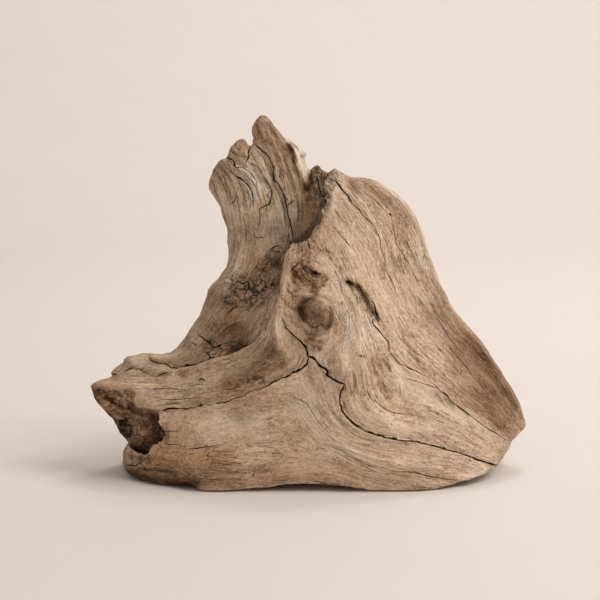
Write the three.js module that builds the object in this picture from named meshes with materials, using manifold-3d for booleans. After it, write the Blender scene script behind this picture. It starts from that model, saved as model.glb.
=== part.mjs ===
// Weathered dry wood piece: one grown and broken lump of old root stock, standing on its base.
// It is one natural piece. Four bodies, parted along the drying checks at its main forks:
//   horn        the upright prong on the left with its split fingers, and the flare at its foot
//   fan         the broad plate on the right with the knot and the burl
//   root_arm    the broken root that runs out to the left, torn hollow at its end
//   lower_slab  the long base under both, with the two feet it stands on
// Millimetres, +Z up, +X to the right seen from the front, +Y to the back.
// The origin is the middle of the bounding box in X and Y, on the floor.

import * as THREE from "three";
import { mergeVertices } from "three/addons/utils/BufferGeometryUtils.js";
import Module from "manifold-3d";

const wasm = await Module();
wasm.setup();

// ---- driving dimensions ----
const EYE_DISTANCE = 984; // mm from the middle of the piece to the point its outline is drawn from
const EYE_TILT = (8 * Math.PI) / 180; // that point looks down by this much
const SHEET_LENGTH = 1416.667; // sheet units at the eye: one unit is 0.69 mm at the middle of the piece
const SHEET_CENTRE = 300; // middle of the drawing sheet, both ways
const AIM = [-6.25, 0, 120]; // point at the sheet's centre, mm
const CELL = 10.6; // size of the facets across the sheet, in its units (7.4 mm)
const CELL_DEPTH = 7.6; // size of the facets in depth, mm
const CHECK_GAP = 0.36; // clear width of the drying checks, mm
const ORIGIN_SHIFT = [-1.128, 3.532]; // moves the bounding box centre onto the origin in X and Y, mm
const WOOD = { horn: 0x8d7663, fan: 0xa68b70, root_arm: 0x90765f, lower_slab: 0x9d8268 };

// Front outline of the whole piece, clockwise from the tip of the horn. Below the base it runs on under the floor.
const OUTLINE = [
  [260.5, 114.8], [264.5, 115.2], [267, 116.8], [270.7, 120.5], [274.5, 125.5], [279.5, 131], [284.5, 137.2], [288, 139.3],
  [293, 142.5], [297.4, 146.5], [299, 150.5], [303, 150.8], [306.4, 152.2], [307, 154.8], [305.3, 157.8], [306.5, 163],
  [308, 168.2], [309.8, 169.2], [312.5, 167], [315.5, 164.9], [319.5, 165.2], [322, 168], [325, 170.8], [327.5, 172.6],
  [330, 171.6], [332.5, 169.6], [335.5, 168], [338.5, 170.2], [341.5, 172.5], [346, 174.6], [350.5, 176.3], [354.5, 177.2],
  [362.5, 177.2], [369, 178.4], [376.5, 180.9], [383, 184.8], [389.5, 189], [396, 193], [402, 199], [408.3, 205.6],
  [413.5, 213], [417.5, 220.5], [421, 228.5], [424, 237], [426.2, 245], [428.8, 254.5], [432.4, 262.5], [436, 271.8],
  [440.5, 283.5], [446, 294.2], [450.5, 304.2], [456, 312.5], [463, 320.8], [470.4, 328.8], [476.5, 335.6], [483, 343.6],
  [488.5, 351.5], [493.5, 359.8], [499.5, 368.2], [505, 377.4], [511.5, 387], [516.5, 396.5], [520.5, 404.5], [523.2, 413.8],
  [525, 420.5], [526, 426.5], [523.5, 430.5], [518.5, 434.4], [515.5, 438.6], [512, 441.5], [510.3, 449], [506.6, 455.5],
  [504.5, 460], [501.5, 465.8], [499, 469.3], [495.8, 473.8], [490.5, 476.2], [484, 484], [470, 495], [440, 506],
  [380, 512], [300, 512], [220, 512], [170, 508], [140, 500], [128, 488], [123.5, 474], [122.2, 466],
  [122.3, 461.5], [122.8, 450.5], [126.3, 445.6], [128.2, 442.6], [125.5, 438.6], [119.5, 433], [116.7, 428.5], [115.2, 423.2],
  [112.2, 418.5], [108.6, 415], [106.2, 412], [101.8, 407.6], [97.2, 403.2], [94.7, 399], [93.2, 393.5], [91.8, 389],
  [90.8, 386.8], [91.3, 384.8], [96.5, 381.4], [103, 379.4], [109, 377.9], [111.8, 376.3], [110.6, 374.3], [111, 372.2],
  [115.5, 367.3], [119.8, 364.6], [123.6, 362.3], [124, 359.3], [127.5, 356], [135.5, 354.8], [141.5, 352.9], [152.5, 352.9],
  [161.5, 354], [171.5, 351.4], [175.5, 348.3], [180.5, 343], [184.8, 337.4], [189.7, 328.8], [195, 321.5], [199.6, 315],
  [202.8, 305.5], [206, 298], [208, 289.8], [212, 284.3], [218.5, 278], [222, 272.5], [226.5, 267], [228.6, 257.5],
  [228.3, 249], [227.3, 241.5], [227.6, 231.5], [226.4, 226], [222, 215], [220.5, 206.8], [215.5, 199], [209.3, 189.6],
  [208.6, 185.5], [209.2, 180.5], [213, 170], [215.6, 166.2], [219.5, 160.8], [222.8, 158.8], [225.5, 158.8], [227.8, 155.5],
  [230, 148.5], [235.5, 141.2], [240.5, 137.8], [243, 137.8], [245.6, 139.8], [248.6, 145.1], [251.3, 144.9], [252.6, 142.8],
  [252, 140.3], [253.2, 138.2], [251.7, 134.8], [251.2, 130.5], [251.6, 126.3], [254, 122], [256.9, 118.3],
];

// Open crevice between the horn and the fan, from the top edge down.
const CHECK_HORN_FAN = [
  [327.6, 173], [324.6, 183], [326.6, 196], [327.2, 204], [322.5, 213], [320.5, 222], [312.5, 233], [308.5, 240.5],
  [297, 243.2], [291.5, 244.5],
];

// Foot of the crevice, beside the ridge that climbs out of the arm.
const CHECK_HORN_RIDGE = [
  [291.5, 244.5], [285, 261], [280.4, 283], [276.8, 302.5],
];

// Drying check between the horn's foot and the arm, out to the left edge.
const CHECK_HORN_ARM = [
  [276.8, 302.5], [266.5, 323], [255, 341], [237.6, 351.5], [220, 357], [194.8, 365.6], [171.8, 371], [157.6, 376.5],
  [146, 374], [133, 368.8], [111.8, 376.4],
];

// Check under the knot, between the arm and the fan.
const CHECK_ARM_FAN = [
  [276.8, 302.5], [283.7, 322.9], [303.7, 345.2], [308.5, 357],
];

// Long check between the arm and the lower slab, round the torn hollow.
const CHECK_ARM_SLAB = [
  [308.5, 357], [303.7, 366.8], [286.4, 377.1], [266.9, 387.4], [240.7, 395], [217.8, 403.5], [190.2, 408.1], [160.4, 410.9],
  [159.2, 420.7], [165.5, 429.9], [159.2, 443.7], [147, 449], [128.2, 442.6],
];

// Long check between the fan and the lower slab, out to the right end.
const CHECK_FAN_SLAB = [
  [308.5, 357], [314, 358.4], [326.8, 372.5], [344.4, 384], [340.1, 401.2], [343.4, 411.9], [358.8, 426.6], [380.3, 436],
  [413.7, 441.6], [447.2, 449.4], [480.7, 460.8], [498.1, 465.7],
];

// Front face of the fan, the arm and the slab: sheet x, sheet y, depth in mm (negative is nearer).
const FRONT = [
  [335, 172, -14], [360, 186, -16], [400, 202, -7], [336, 190, -30], [375, 212, -23], [413, 240, -5], [326, 225, -38], [345, 240, -42],
  [385, 258, -29], [428, 285, -3], [312, 246, -42], [322, 268, -47], [345, 290, -50], [372, 292, -42], [408, 312, -28], [446, 315, -2],
  [293, 285, -47], [315, 315, -57], [335, 300, -54], [352, 330, -57], [382, 330, -45], [420, 345, -34], [457, 345, -12], [480, 352, 1],
  [320, 350, -60], [345, 375, -61], [375, 370, -56], [402, 382, -53], [440, 385, -43], [478, 388, -25], [503, 392, -9], [350, 410, -62],
  [380, 425, -61], [420, 430, -56], [460, 440, -48], [488, 452, -38], [510, 434, -24], [496, 418, -32], [519, 424, -10], [305, 375, -58],
  [250, 404, -55], [200, 414, -50], [168, 418, -43], [168, 440, -45], [200, 440, -57], [250, 440, -63], [300, 430, -65], [340, 440, -65],
  [380, 455, -64], [430, 462, -58], [470, 470, -47], [488, 472, -38], [205, 478, -62], [250, 482, -62], [300, 478, -61], [375, 486, -62],
  [420, 486, -61], [450, 480, -54], [168, 474, -48], [150, 470, -42], [136, 462, -34], [127, 455, -24], [205, 492, -62], [240, 490, -61],
  [385, 492, -61.5], [280, 312, -47], [276, 330, -51], [300, 352, -58], [285, 367, -60], [250, 374, -53], [220, 370, -45], [185, 376, -39],
  [150, 384, -37], [122, 381, -31], [101, 384, -27], [250, 390, -57], [205, 400, -52], [165, 404, -46], [142, 394, -42], [300, 330, -52],
];

// Front face of the horn and its flare.
const HORN_FRONT = [
  [262, 120, 2], [256, 135, 1], [240, 145, 3], [215, 180, 5], [240, 180, -3], [268, 170, -5], [285, 165, -2], [298, 185, 2],
  [312, 190, 8], [318, 175, 9], [316, 215, 7], [300, 235, 2], [240, 220, -6], [272, 215, -6], [230, 250, 0], [250, 260, -9],
  [278, 262, -10], [272, 285, -20], [232, 290, -13], [256, 298, -22], [215, 310, -15], [203, 338, -21], [232, 335, -30], [182, 356, -27],
  [213, 357, -34], [150, 364, -26], [122, 368, -18], [168, 362, -27], [268, 310, -38], [252, 335, -38], [225, 352, -35], [196, 360, -32],
  [178, 366, -31], [140, 366, -25],
];

// Depth at which the front and back faces meet, along the outline.
const EDGE = [
  [261, 115, 8], [209, 183, 9], [228, 250, 8], [206, 298, 4], [185, 337, -1], [150, 353, -5], [125, 360, -7], [111, 375, -9],
  [91, 386, -13], [105, 410, -5], [120, 433, 0], [123, 460, -4], [123, 474, -4], [150, 500, 0], [250, 512, 0], [400, 512, 0],
  [480, 490, -6], [500, 468, -10], [512, 441, -5], [526, 426, 2], [520, 404, 6], [500, 368, 9], [463, 321, 12], [436, 272, 13],
  [417, 220, 11], [389, 189, 7], [355, 177, 1], [335, 168, -2], [320, 165, 12], [308, 169, 14], [300, 150, 14], [284, 137, 11],
  [245, 140, 8], [300, 300, 0], [250, 230, 6],
];

// Back face.
const BACK = [
  [262, 120, 15], [240, 150, 19], [215, 185, 18], [250, 220, 24], [240, 262, 22], [215, 300, 22], [262, 280, 34], [180, 350, 14],
  [130, 362, 4], [100, 385, -3], [130, 400, 12], [200, 390, 30], [250, 340, 38], [300, 300, 48], [300, 200, 26], [350, 190, 14],
  [392, 200, 16], [350, 240, 24], [400, 270, 17], [430, 272, 18], [440, 330, 22], [470, 340, 17], [500, 390, 18], [515, 420, 13],
  [400, 380, 36], [350, 340, 38], [460, 430, 34], [400, 450, 56], [300, 400, 50], [300, 460, 60], [220, 440, 50], [150, 440, 32],
  [140, 470, 28], [450, 470, 46], [300, 500, 60], [200, 500, 48], [420, 500, 54], [330, 280, 44], [420, 410, 42], [250, 400, 38],
];

// How far in from the outline the form rounds over.
const ROUND = [
  [262, 120, 9], [245, 145, 8], [215, 180, 11], [228, 250, 14], [206, 298, 14], [185, 337, 14], [150, 355, 9], [125, 360, 8],
  [111, 375, 7], [93, 388, 8], [107, 412, 9], [122, 434, 9], [123, 460, 11], [140, 500, 16], [250, 512, 20], [400, 512, 20],
  [480, 490, 14], [500, 468, 11], [512, 441, 10], [524, 426, 7], [505, 380, 6], [463, 322, 6], [436, 272, 6], [415, 215, 6],
  [389, 189, 7], [355, 177, 7], [335, 168, 6], [318, 165, 6], [306, 160, 7], [290, 142, 8], [300, 300, 12],
];

// Height of the underside: two feet, below zero here, and the low arch between them: sheet x, height in mm.
const UNDER = [
  [120, 4.5], [135, 3], [165, 2], [190, 3], [196, -1], [204, -7], [232, -7], [246, -1],
  [262, 2.2], [278, 4], [300, 5.6], [325, 5.2], [345, 4], [358, 0.5], [370, -7], [422, -7],
  [436, -1], [450, 3.4], [462, 5.2], [475, 5.8], [490, 6.5], [500, 11], [512, 22], [527, 30],
];

// Torn hollow in the end of the arm, and its depths.
const HOLLOW = [
  [93, 388.5], [104, 389.8], [118, 390.3], [130, 388.5], [136.5, 392.5], [133, 400], [137, 407.5], [150, 409.5],
  [160, 411.5], [160.5, 420.5], [166, 430], [164.6, 437], [158.5, 444.5], [150, 448.5], [140, 447.5], [131, 445],
  [118, 446], [80, 440], [70, 400], [84, 387],
];

// Depths inside that hollow.
const HOLLOW_DEPTH = [
  [95, 392, -21], [106, 398, -20], [120, 396, -27], [116, 410, -12], [135, 404, -20], [130, 420, -6], [150, 415, -9], [155, 430, 4],
  [140, 437, 0], [125, 438, -4], [146, 444, 4],
];

const SE = Math.sin(EYE_TILT);
const CE = Math.cos(EYE_TILT);

// Point of the sheet at a depth -> millimetres.
function place(u, v, depth) {
  const k = (SHEET_CENTRE - v) / SHEET_LENGTH;
  const dz = (k * (EYE_DISTANCE + depth * CE) - depth * SE) / (CE + k * SE);
  const far = EYE_DISTANCE + depth * CE - dz * SE;
  return [AIM[0] + ((u - SHEET_CENTRE) * far) / SHEET_LENGTH, depth, AIM[2] + dz];
}

// Smooth surface through scattered values (thin plate spline).
function plate(points, stiffness = 2) {
  const n = points.length;
  const size = n + 3;
  const a = Array.from({ length: size }, () => new Float64Array(size + 1));
  const c = points.map(([x, y]) => [x / 100, y / 100]);
  for (let i = 0; i < n; i++) {
    for (let j = 0; j < n; j++) {
      const d2 = (c[i][0] - c[j][0]) ** 2 + (c[i][1] - c[j][1]) ** 2;
      a[i][j] = d2 > 0 ? 0.5 * d2 * Math.log(d2) : stiffness * 1e-3;
    }
    a[i][n] = a[n][i] = 1;
    a[i][n + 1] = a[n + 1][i] = c[i][0];
    a[i][n + 2] = a[n + 2][i] = c[i][1];
    a[i][size] = points[i][2];
  }
  for (let i = 0; i < size; i++) {
    let p = i;
    for (let r = i + 1; r < size; r++) if (Math.abs(a[r][i]) > Math.abs(a[p][i])) p = r;
    [a[i], a[p]] = [a[p], a[i]];
    for (let r = 0; r < size; r++) {
      if (r === i) continue;
      const f = a[r][i] / a[i][i];
      if (f) for (let q = i; q <= size; q++) a[r][q] -= f * a[i][q];
    }
  }
  const w = a.map((row, i) => row[size] / row[i]);
  return (u, v) => {
    const x = u / 100;
    const y = v / 100;
    let s = w[n] + w[n + 1] * x + w[n + 2] * y;
    for (let i = 0; i < n; i++) {
      const d2 = (x - c[i][0]) ** 2 + (y - c[i][1]) ** 2;
      if (d2 > 0) s += w[i] * 0.5 * d2 * Math.log(d2);
    }
    return s;
  };
}

function toSegment(x, y, a, b) {
  const vx = b[0] - a[0];
  const vy = b[1] - a[1];
  const t = Math.min(1, Math.max(0, ((x - a[0]) * vx + (y - a[1]) * vy) / Math.max(vx * vx + vy * vy, 1e-9)));
  return Math.hypot(x - a[0] - t * vx, y - a[1] - t * vy);
}

// Distance to a closed line, positive inside.
function inset(line, x, y) {
  let d = Infinity;
  let inside = false;
  for (let i = 0; i < line.length; i++) {
    const a = line[i];
    const b = line[(i + 1) % line.length];
    d = Math.min(d, toSegment(x, y, a, b));
    if (a[1] > y !== b[1] > y && x < ((b[0] - a[0]) * (y - a[1])) / (b[1] - a[1]) + a[0]) inside = !inside;
  }
  return inside ? d : -d;
}

function along(line, x, y) {
  let d = Infinity;
  for (let i = 1; i < line.length; i++) d = Math.min(d, toSegment(x, y, line[i - 1], line[i]));
  return d;
}

function ease(a, b, v) {
  const t = Math.min(1, Math.max(0, (v - a) / (b - a)));
  return t * t * (3 - 2 * t);
}

function lookUp(table, x) {
  if (x <= table[0][0]) return table[0][1];
  for (let i = 1; i < table.length; i++) {
    if (x <= table[i][0]) {
      const [x0, y0] = table[i - 1];
      const [x1, y1] = table[i];
      return y0 + ((y1 - y0) * (x - x0)) / (x1 - x0);
    }
  }
  return table[table.length - 1][1];
}

const frontFace = plate(FRONT);
const hornFace = plate(HORN_FRONT);
const hollowFace = plate(HOLLOW_DEPTH);
const edgeDepth = plate(EDGE);
const backFace = plate(BACK);
const roundOver = plate(ROUND);
const hornFoot = CHECK_HORN_ARM.slice(0, 7);

const FACES = {
  fan: frontFace,
  lower_slab: frontFace,
  // The horn's foot runs into the arm without a step.
  horn: (u, v) => {
    const rest = frontFace(u, v);
    return rest + (hornFace(u, v) - rest) * ease(0, 20, along(hornFoot, u, v));
  },
  root_arm: (u, v) => {
    const rest = frontFace(u, v);
    return rest + (Math.max(hollowFace(u, v), rest) - rest) * ease(-1, 5, inset(HOLLOW, u, v));
  },
};

// Closed skin of the form given by one front face, as a solid that still runs past its neighbours.
function grow(face, region) {
  const us = [];
  const vs = [];
  const ds = [];
  for (let u = 76; u < 542; u += CELL) us.push(u);
  for (let v = 100; v < 528; v += CELL) vs.push(v);
  for (let d = -76; d < 74; d += CELL_DEPTH) ds.push(d);
  const nu = us.length;
  const nv = vs.length;
  const nd = ds.length;
  const field = new Float32Array(nu * nv * nd);
  const at = (i, j, k) => (i * nv + j) * nd + k;
  for (let i = 0; i < nu; i++) {
    for (let j = 0; j < nv; j++) {
      const u = us[i];
      const v = vs[j];
      const near = face(u, v);
      const edge = edgeDepth(u, v);
      const far = backFace(u, v);
      const reach = Math.min(24, Math.max(5, roundOver(u, v)));
      const q = Math.max(0, 1 - inset(OUTLINE, u, v) / reach);
      const past = -inset(region, u, v) - 2.2 * CELL;
      const under = lookUp(UNDER, u);
      const tf = Math.max(edge - near, 3);
      const tb = Math.max(far - edge, 3);
      for (let k = 0; k < nd; k++) {
        const d = ds[k];
        const t = d < edge ? tf : tb;
        const r = (d < edge ? edge - d : d - edge) / t;
        let f = (Math.sqrt(q * q + r * r) - 1) * Math.min(t, 14);
        f = Math.max(f, under - place(u, v, d)[2], past);
        field[at(i, j, k)] = f;
      }
    }
  }
  // Where two opposite corners of a cell face are wood and the other two are air, the weaker corner gives way,
  // so that the skin never touches itself along an edge.
  for (let pass = 0, turned = 1; turned && pass < 12; pass++) {
    turned = 0;
    for (let i = 0; i < nu - 1; i++) {
      for (let j = 0; j < nv - 1; j++) {
        for (let k = 0; k < nd - 1; k++) {
          const faces = [
            [at(i, j, k), at(i + 1, j, k), at(i + 1, j + 1, k), at(i, j + 1, k)],
            [at(i, j, k), at(i + 1, j, k), at(i + 1, j, k + 1), at(i, j, k + 1)],
            [at(i, j, k), at(i, j + 1, k), at(i, j + 1, k + 1), at(i, j, k + 1)],
          ];
          for (const c of faces) {
            const w = c.map((n) => field[n] < 0);
            if (w[0] !== w[2] || w[1] !== w[3] || w[0] === w[1]) continue;
            const weak = c.reduce((a, b) => (Math.abs(field[a]) < Math.abs(field[b]) ? a : b));
            field[weak] = field[weak] < 0 ? 0.4 : -0.4;
            turned++;
          }
        }
      }
    }
  }
  // One vertex in each cell that the surface passes through.
  const index = new Int32Array(nu * nv * nd).fill(-1);
  const xyz = [];
  for (let i = 0; i < nu - 1; i++) {
    for (let j = 0; j < nv - 1; j++) {
      for (let k = 0; k < nd - 1; k++) {
        let sx = 0;
        let sy = 0;
        let sz = 0;
        let n = 0;
        for (let e = 0; e < 12; e++) {
          const axis = e >> 2;
          const a = [0, 0, 0];
          a[(axis + 1) % 3] = e & 1;
          a[(axis + 2) % 3] = (e >> 1) & 1;
          const b = a.slice();
          b[axis] = 1;
          const fa = field[at(i + a[0], j + a[1], k + a[2])];
          const fb = field[at(i + b[0], j + b[1], k + b[2])];
          if (fa < 0 === fb < 0) continue;
          const t = fa / (fa - fb);
          sx += a[0] + (b[0] - a[0]) * t;
          sy += a[1] + (b[1] - a[1]) * t;
          sz += a[2] + (b[2] - a[2]) * t;
          n++;
        }
        if (!n) continue;
        index[at(i, j, k)] = xyz.length / 3;
        xyz.push(...place(us[i] + (sx / n) * CELL, vs[j] + (sy / n) * CELL, ds[k] + (sz / n) * CELL_DEPTH));
      }
    }
  }
  const faces = [];
  const step = [
    [1, 0, 0],
    [0, 1, 0],
    [0, 0, 1],
  ];
  for (let i = 1; i < nu - 1; i++) {
    for (let j = 1; j < nv - 1; j++) {
      for (let k = 1; k < nd - 1; k++) {
        for (let axis = 0; axis < 3; axis++) {
          const s = step[axis];
          const f0 = field[at(i, j, k)] < 0;
          if (f0 === field[at(i + s[0], j + s[1], k + s[2])] < 0) continue;
          const p = step[(axis + 1) % 3];
          const q = step[(axis + 2) % 3];
          const a = index[at(i - p[0] - q[0], j - p[1] - q[1], k - p[2] - q[2])];
          const b = index[at(i - q[0], j - q[1], k - q[2])];
          const c = index[at(i, j, k)];
          const d = index[at(i - p[0], j - p[1], k - p[2])];
          const loop = f0 ? [a, b, c, d] : [a, d, c, b];
          const length = (m, n) =>
            Math.hypot(xyz[3 * m] - xyz[3 * n], xyz[3 * m + 1] - xyz[3 * n + 1], xyz[3 * m + 2] - xyz[3 * n + 2]);
          if (length(loop[0], loop[2]) <= length(loop[1], loop[3])) faces.push(loop[0], loop[1], loop[2], loop[0], loop[2], loop[3]);
          else faces.push(loop[1], loop[2], loop[3], loop[1], loop[3], loop[0]);
        }
      }
    }
  }
  return solid(xyz, faces);
}

function solid(xyz, faces) {
  return new wasm.Manifold(
    new wasm.Mesh({ numProp: 3, vertProperties: new Float32Array(xyz), triVerts: new Uint32Array(faces) }),
  );
}

// Three.js geometry, closed and merged, to a solid.
function toSolid(geometry) {
  const g = geometry.clone();
  g.deleteAttribute("normal");
  g.deleteAttribute("uv");
  const m = mergeVertices(g, 1e-4);
  const p = m.attributes.position;
  return solid(Array.from(p.array), Array.from(m.index.array));
}

// The block of space that belongs to one fork: its line on the sheet, drawn in by half the gap,
// swept along the sight lines from in front of the piece to behind it.
function forkBlock(line) {
  const n = line.length;
  const turned = line.reduce((s, a, i) => {
    const b = line[(i + 1) % n];
    return s + a[0] * b[1] - b[0] * a[1];
  }, 0);
  const side = Math.sign(turned) * (CHECK_GAP / 2) * (SHEET_LENGTH / (EYE_DISTANCE - 70));
  const drawn = line.map((p, i) => {
    const a = line[(i + n - 1) % n];
    const b = line[(i + 1) % n];
    const l0 = Math.hypot(p[0] - a[0], p[1] - a[1]);
    const l1 = Math.hypot(b[0] - p[0], b[1] - p[1]);
    const n0 = [-(p[1] - a[1]) / l0, (p[0] - a[0]) / l0];
    const n1 = [-(b[1] - p[1]) / l1, (b[0] - p[0]) / l1];
    const m = [n0[0] + n1[0], n0[1] + n1[1]];
    const k = (2 * side) / Math.max(m[0] * m[0] + m[1] * m[1], 0.3);
    return new THREE.Vector2(p[0] + m[0] * k, p[1] + m[1] * k);
  });
  const block = new THREE.ExtrudeGeometry(new THREE.Shape(drawn), { depth: 200, steps: 1, bevelEnabled: false });
  const pos = block.attributes.position;
  for (let i = 0; i < pos.count; i++) {
    const [x, y, z] = place(pos.getX(i), pos.getY(i), pos.getZ(i) - 100);
    pos.setXYZ(i, x, y, z);
  }
  return toSolid(block);
}

const reverse = (line) => line.slice().reverse();
const ABOVE = [331, 60];
const LEFT_HIGH = [60, 372];
const LEFT_LOW = [60, 440];
const RIGHT = [580, 492];
const FORKS = {
  horn: [ABOVE, ...CHECK_HORN_FAN, ...CHECK_HORN_RIDGE.slice(1), ...CHECK_HORN_ARM.slice(1), LEFT_HIGH, [60, 60]],
  fan: [ABOVE, ...CHECK_HORN_FAN, ...CHECK_HORN_RIDGE.slice(1), ...CHECK_ARM_FAN.slice(1), ...CHECK_FAN_SLAB.slice(1), RIGHT, [580, 60]],
  root_arm: [...CHECK_HORN_ARM, LEFT_HIGH, LEFT_LOW, ...reverse(CHECK_ARM_SLAB), ...reverse(CHECK_ARM_FAN).slice(1, -1)],
  lower_slab: [...CHECK_ARM_SLAB, LEFT_LOW, [60, 560], [580, 560], RIGHT, ...reverse(CHECK_FAN_SLAB).slice(0, -1)],
};

// The floor: everything under it is cut away, which leaves the two flat feet.
const floorBlock = toSolid(new THREE.BoxGeometry(700, 700, 100).translate(0, 0, -50));

const piece = new THREE.Group();
piece.name = "dry_wood_piece";

for (const [name, line] of Object.entries(FORKS)) {
  const body = grow(FACES[name], line).intersect(forkBlock(line)).subtract(floorBlock);
  const { vertProperties, triVerts } = body.getMesh();
  const geometry = new THREE.BufferGeometry();
  geometry.setAttribute("position", new THREE.BufferAttribute(new Float32Array(vertProperties), 3));
  geometry.setIndex(new THREE.BufferAttribute(new Uint32Array(triVerts), 1));
  geometry.computeVertexNormals();
  const mesh = new THREE.Mesh(
    geometry,
    new THREE.MeshStandardMaterial({ color: WOOD[name], roughness: 0.88, metalness: 0, flatShading: true }),
  );
  mesh.name = name;
  mesh.position.set(ORIGIN_SHIFT[0], ORIGIN_SHIFT[1], 0);
  piece.add(mesh);
}

export default piece;
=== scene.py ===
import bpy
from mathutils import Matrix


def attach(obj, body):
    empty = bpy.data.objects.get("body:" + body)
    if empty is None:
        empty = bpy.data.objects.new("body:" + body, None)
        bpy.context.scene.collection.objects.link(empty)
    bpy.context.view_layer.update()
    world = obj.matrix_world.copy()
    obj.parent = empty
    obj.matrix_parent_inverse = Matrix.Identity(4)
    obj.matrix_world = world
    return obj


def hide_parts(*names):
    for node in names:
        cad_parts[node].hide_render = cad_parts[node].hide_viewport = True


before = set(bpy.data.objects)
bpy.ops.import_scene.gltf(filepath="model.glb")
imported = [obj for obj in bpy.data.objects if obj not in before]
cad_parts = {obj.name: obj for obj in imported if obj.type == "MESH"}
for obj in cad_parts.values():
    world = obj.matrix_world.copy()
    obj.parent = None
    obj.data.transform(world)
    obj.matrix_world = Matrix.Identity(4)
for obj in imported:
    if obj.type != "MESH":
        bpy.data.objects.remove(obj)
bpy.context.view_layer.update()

import math

import bpy
import numpy as np
from mathutils import Vector

# A weathered piece of root wood: an upright split prong (horn), a broad knotted plate (fan), a broken
# root end (root_arm) and the thick base (lower_slab). Its front is laid out in the plane of the front
# view: u to the right and v down, 600 units across the view, about 0.69 mm each at the middle of the
# piece. Depths are in mm, negative towards the viewer.
FOC = 85.0 / 36.0 * 600.0
DIST = 984.0
ELEV = math.radians(8.0)
SE, CE = math.sin(ELEV), math.cos(ELEV)
AIM = (-6.25, 0.0, 120.0)
SHIFT = (-1.128, 3.532)
MMU = DIST / FOC

OUTLINE = [(260.5,114.8),(264.5,115.2),(267,116.8),(270.7,120.5),(274.5,125.5),(279.5,131),(284.5,137.2),(288,139.3),(293,142.5),(297.4,146.5),(299,150.5),(303,150.8),(306.4,152.2),(307,154.8),(305.3,157.8),(306.5,163),(308,168.2),(309.8,169.2),(312.5,167),(315.5,164.9),(319.5,165.2),(322,168),(325,170.8),(327.5,172.6),(330,171.6),(332.5,169.6),(335.5,168.0),(338.5,170.2),(341.5,172.5),(346,174.6),(350.5,176.3),(354.5,177.2),(362.5,177.2),(369,178.4),(376.5,180.9),(383,184.8),(389.5,189),(396,193),(402,199),(408.3,205.6),(413.5,213),(417.5,220.5),(421,228.5),(424,237),(426.2,245),(428.8,254.5),(432.4,262.5),(436,271.8),(440.5,283.5),(446,294.2),(450.5,304.2),(456,312.5),(463,320.8),(470.4,328.8),(476.5,335.6),(483,343.6),(488.5,351.5),(493.5,359.8),(499.5,368.2),(505,377.4),(511.5,387),(516.5,396.5),(520.5,404.5),(523.2,413.8),(525,420.5),(526,426.5),(523.5,430.5),(518.5,434.4),(515.5,438.6),(512,441.5),(510.3,449),(506.6,455.5),(504.5,460),(501.5,465.8),(499,469.3),(495.8,473.8),(490.5,476.2),(484,484),(470,495),(440,506),(380,512),(300,512),(220,512),(170,508),(140,500),(128,488),(123.5,474),(122.2,466),(122.3,461.5),(122.8,450.5),(126.3,445.6),(128.2,442.6),(125.5,438.6),(119.5,433),(116.7,428.5),(115.2,423.2),(112.2,418.5),(108.6,415),(106.2,412),(101.8,407.6),(97.2,403.2),(94.7,399),(93.2,393.5),(91.8,389),(90.8,386.8),(91.3,384.8),(96.5,381.4),(103,379.4),(109,377.9),(111.8,376.3),(110.6,374.3),(111,372.2),(115.5,367.3),(119.8,364.6),(123.6,362.3),(124,359.3),(127.5,356),(135.5,354.8),(141.5,352.9),(152.5,352.9),(161.5,354),(171.5,351.4),(175.5,348.3),(180.5,343),(184.8,337.4),(189.7,328.8),(195,321.5),(199.6,315),(202.8,305.5),(206,298),(208,289.8),(212,284.3),(218.5,278),(222,272.5),(226.5,267),(228.6,257.5),(228.3,249),(227.3,241.5),(227.6,231.5),(226.4,226),(222,215),(220.5,206.8),(215.5,199),(209.3,189.6),(208.6,185.5),(209.2,180.5),(213,170),(215.6,166.2),(219.5,160.8),(222.8,158.8),(225.5,158.8),(227.8,155.5),(230,148.5),(235.5,141.2),(240.5,137.8),(243,137.8),(245.6,139.8),(248.6,145.1),(251.3,144.9),(252.6,142.8),(252,140.3),(253.2,138.2),(251.7,134.8),(251.2,130.5),(251.6,126.3),(254,122),(256.9,118.3)]
SEAM_HF = [(327.6,173),(329.5,177),(324.6,181.8),(323.5,187),(327,193.2),(325.9,198),(327.7,204),(322.2,211),(323.2,216),(321.3,221.8),(317.6,225),(313,232.5),(310,239.5),(303.5,242),(297,243.2),(291.5,244.5)]
SEAM_HV = [(291.5,244.5),(287.5,252),(285,261),(283,271),(280.4,283),(279,292),(276.8,302.5)]
SEAM_HA = [(276.8,302.5),(270.6,313.7),(266.5,323),(262.5,332.5),(255,341),(247,347.3),(237.6,351.5),(228.5,354.8),(220,357),(212,358.7),(204,362.1),(194.8,365.6),(184.5,367.3),(178.7,368.5),(171.8,371),(165.7,373.7),(157.6,376.5),(150,376),(143,372.8),(137,369),(133,368.8),(123.9,372.7),(114.7,375.9),(111.8,376.4)]
SEAM_AF = [(276.8,302.5),(279.5,308),(282,314),(283.7,322.9),(288.5,330),(296.1,337.6),(303.7,345.2),(306.5,351),(308.5,357)]
SEAM_AS = [(308.5,357),(307,361.4),(303.7,366.8),(299.4,370.1),(292.9,372.8),(286.4,377.1),(275.5,382),(266.9,387.4),(253.9,391.8),(240.7,395),(229.2,401.2),(217.8,403.5),(204,405.8),(190.2,408.1),(179.9,408.6),(167.2,409.2),(158.9,411.3),(159.8,416.6),(158.6,422.3),(162,426.6),(165.3,431.6),(166.2,435.4),(163.7,440),(158.7,444),(153,446),(150.9,449.4),(149.7,454),(143,455),(136,452.5),(131,447.5),(128.2,442.6)]
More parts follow.
